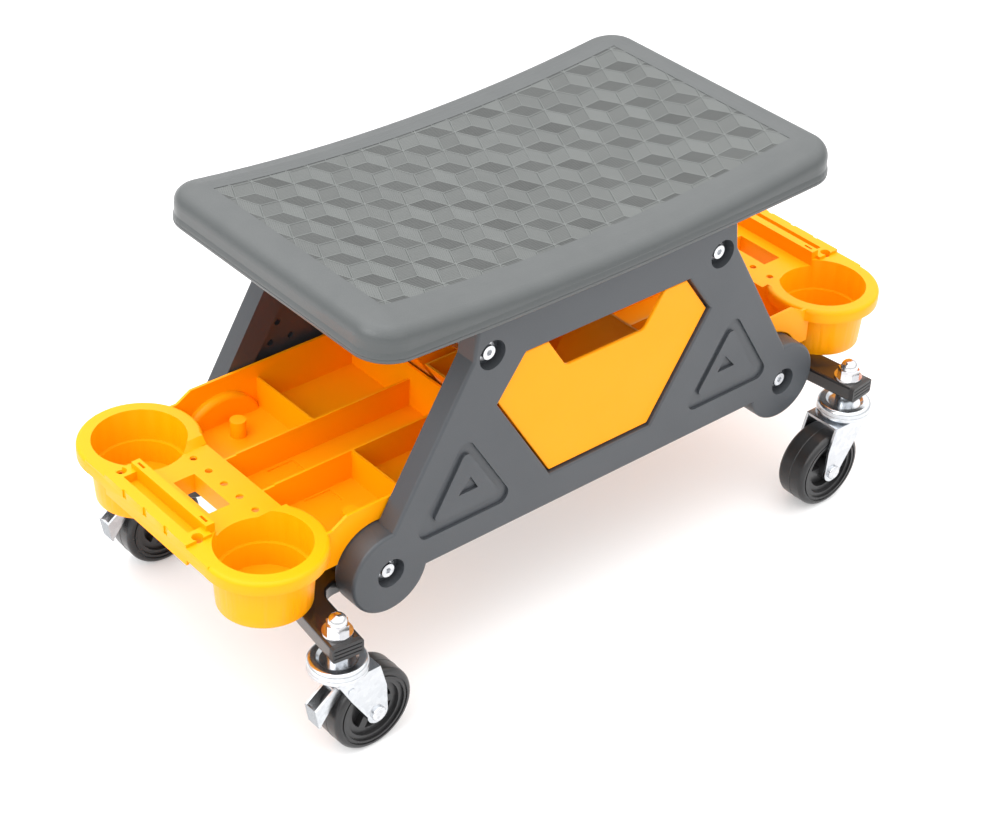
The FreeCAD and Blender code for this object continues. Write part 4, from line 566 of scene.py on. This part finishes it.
# %% A ring round a rectangle with round corners
def rounded_rectangle(half_x, half_y, radius, corner_steps=10, side_steps=28):
    """Points and outward normals: four quarter circles and the straight runs between them."""
    quarter = np.linspace(0, math.pi / 2, corner_steps + 1)
    points, normals = [], []
    for turn_number, (sx, sy) in enumerate(((1, 1), (-1, 1), (-1, -1), (1, -1))):
        angle = quarter + turn_number * math.pi / 2
        normal = np.stack([np.cos(angle), np.sin(angle)], -1)
        points.append(np.array([sx * (half_x - radius), sy * (half_y - radius)]) + radius * normal)
        normals.append(normal)
    runs, run_normals = [], []
    for number in range(4):
        start, stop = points[number][-1], points[(number + 1) % 4][0]
        share = np.linspace(0, 1, side_steps + 1)[1:-1, None]
        runs += [points[number], start + (stop - start) * share]
        run_normals += [normals[number], np.repeat(normals[number][-1:], side_steps - 1, 0)]
    return np.concatenate(runs), np.concatenate(run_normals)


def ring_on_outline(name, outline, normals, level, profile):
    """A closed ring: outline + step out x normal, at the level of each point + step up."""
    out, up = np.array(profile).T * MM
    grid = np.empty((len(profile), len(outline), 3))
    grid[..., :2] = outline[None] + out[:, None, None] * normals[None]
    grid[..., 2] = level[None] + up[:, None]
    mesh = mesh_from(name, grid, grid_faces(len(profile), len(outline), True, True).tolist())
    turn_outwards(mesh)
    return mesh


seat_half_width, seat_corner = 142.8 * MM, 30 * MM
base_end_z, base_middle_z = 340 * MM, 334.5 * MM
seat_outline, seat_normals = rounded_rectangle(seat_half_length, seat_half_width, seat_corner)
seat_base = arc_height(seat_outline[:, 0], seat_half_length, base_end_z, base_middle_z)
lip_profile = ((-0.8, 1.2), (0.5, 1.5), (1.1, 2.3), (1.3, 3.4), (1.3, 4.5), (0.9, 4.75),
               (0.9, 5.25), (1.3, 5.5), (1.25, 6.6), (0.95, 7.8), (0.45, 9.2), (-0.1, 10.6),
               (-0.8, 11.2))
lip_mesh = ring_on_outline("seat_lip", seat_outline, seat_normals, seat_base, lip_profile)
add_piece("seat_lip", lip_mesh, seat_grey, "base")

# %% [markdown]
# Each side panel has a raised line below its upper edge. It is a long thin bar whose section is
# a flat arch, and each end is drawn in to a point on the panel's face.

# %% Thin lines below the panels' upper edges
line_profile = np.array([(-0.5, -0.6), (0.25, -0.5), (0.42, 0.0), (0.25, 0.5), (-0.5, 0.6)]) * MM
line_half, line_z, panel_face = 137.5 * MM, 327.6 * MM, 130 * MM
for side, sign in (("near", -1), ("far", 1)):
    run = np.array([-line_half - MM, -line_half, line_half, line_half + MM])
    swell = np.array([0.0, 1.0, 1.0, 0.0])
    line = np.empty((len(run), len(line_profile), 3))
    line[..., 0] = run[:, None]
    line[..., 1] = sign * (panel_face + line_profile[None, :, 0] * swell[:, None])
    line[..., 2] = line_z + line_profile[None, :, 1] * swell[:, None]
    line_mesh = mesh_from("panel_line", line, grid_faces(*line.shape[:2], wrap_u=True).tolist())
    turn_outwards(line_mesh)
    add_piece("panel_line_" + side, line_mesh, panel_grey, "base")

# %% [markdown]
# A tyre's mould has two halves, and a thin bead is left where they meet. A ring of points round
# the wheel's axis makes it: radius times cosine and sine of the angle. Each ring rides on its
# wheel, so it rolls with it.

# %% Parting line round each tyre
wheel_radius = 37.5 * MM
wheel_x, wheel_y, wheel_z = 262.5 * MM, 148.9 * MM, wheel_radius
bead_profile = np.array([(-0.6, -0.3), (-0.45, 0.1), (0.0, 0.28), (0.45, 0.1), (0.6, -0.3)]) * MM
around = np.linspace(0, 2 * math.pi, 97)[:-1]
for end, across in (("left", -1), ("right", 1)):
    for side, up in (("near", -1), ("far", 1)):
        reach = wheel_radius + bead_profile[:, 1]
        bead = np.empty((len(bead_profile), len(around), 3))
        bead[..., 0] = wheel_x * across + reach[:, None] * np.cos(around)
        bead[..., 1] = wheel_y * up + bead_profile[:, 0, None]
        bead[..., 2] = wheel_z + reach[:, None] * np.sin(around)
        bead_mesh = mesh_from("tyre_line", bead, grid_faces(*bead.shape[:2], True, True).tolist())
        turn_outwards(bead_mesh)
        place = "%s_%s" % (end, side)
        add_piece("tyre_line_" + place, bead_mesh, tyre_black, "wheel_" + place)

# %% [markdown]
# ## Floor and light
#
# The picture has a plain pale ground and soft studio light without hard shadows. A large
# sheet makes the floor, a big lamp above gives the top its sheen, and two weaker ones open
# the shadows from the sides.

# %% Floor
floor_half = 9.0
floor_grid = np.zeros((2, 2, 3))
floor_ends = [-floor_half, floor_half]
floor_grid[..., 0], floor_grid[..., 1] = np.meshgrid(floor_ends, floor_ends)
floor_paint, floor_tree, floor_shader, floor_place = new_material("pale_floor")
floor_patches_per_metre = 3.0
floor_noise = noise(floor_tree, floor_place, floor_patches_per_metre, 3.0)
floor_tone = blend_colors(floor_tree, floor_noise, (0.66, 0.66, 0.66, 1), (0.63, 0.63, 0.633, 1))
floor_tree.links.new(floor_tone, floor_shader.inputs["Base Color"])
floor_shader.inputs["Roughness"].default_value = 0.6
floor_shader.inputs["Emission Color"].default_value = (1, 1, 1, 1)
floor_shader.inputs["Emission Strength"].default_value = 0.3
floor = bpy.data.objects.new("floor", mesh_from("floor", floor_grid, grid_faces(2, 2).tolist()))
bpy.context.scene.collection.objects.link(floor)
floor.data.materials.append(floor_paint)


# %% [markdown]
# The sky is a plain white whose strength grows from the horizon up. A sky of one strength would
# light all sides alike and leave no shape in the greys. The floor glows faintly, which fills the
# shadow below the seat as a lit studio table does.

# %% Lamps and sky
def lamp(name, place, aim, size, power):
    """A square soft lamp at a place, turned towards a point, sizes in metres and power in watts."""
    data = bpy.data.lights.new(name, "AREA")
    data.size = size
    data.energy = power
    made = bpy.data.objects.new(name, data)
    bpy.context.scene.collection.objects.link(made)
    turned = (Vector(aim) - Vector(place)).to_track_quat("-Z", "Y").to_matrix().to_4x4()
    made.matrix_world = Matrix.Translation(place) @ turned
    print("lamp", name, power, "W")


lamp("overhead", (-0.3, 0.2, 2.4), (0, 0, 0.2), 2.2, 18)
lamp("left_side", (-1.9, -0.2, 1.5), (-0.2, 0, 0.15), 1.4, 15)
lamp("front_side", (0.6, -2.6, 1.2), (0, 0, 0.2), 1.8, 2)
world = bpy.data.worlds.new("studio")
bpy.context.scene.world = world
world.use_nodes = True
sky = world.node_tree
sky_parts = add_node(sky, "SeparateXYZ", {0: add_node(sky, "TexCoord").outputs["Generated"]})
sky_light = add_node(sky, "MapRange", {"Value": sky_parts.outputs[2], "From Min": 0.0,
                                       "From Max": 0.75, "To Min": 0.45, "To Max": 2.3})
sky.nodes["Background"].inputs["Color"].default_value = (1, 1, 1, 1)
sky.links.new(sky_light.outputs[0], sky.nodes["Background"].inputs["Strength"])
bpy.context.scene.view_settings.view_transform = "Standard"
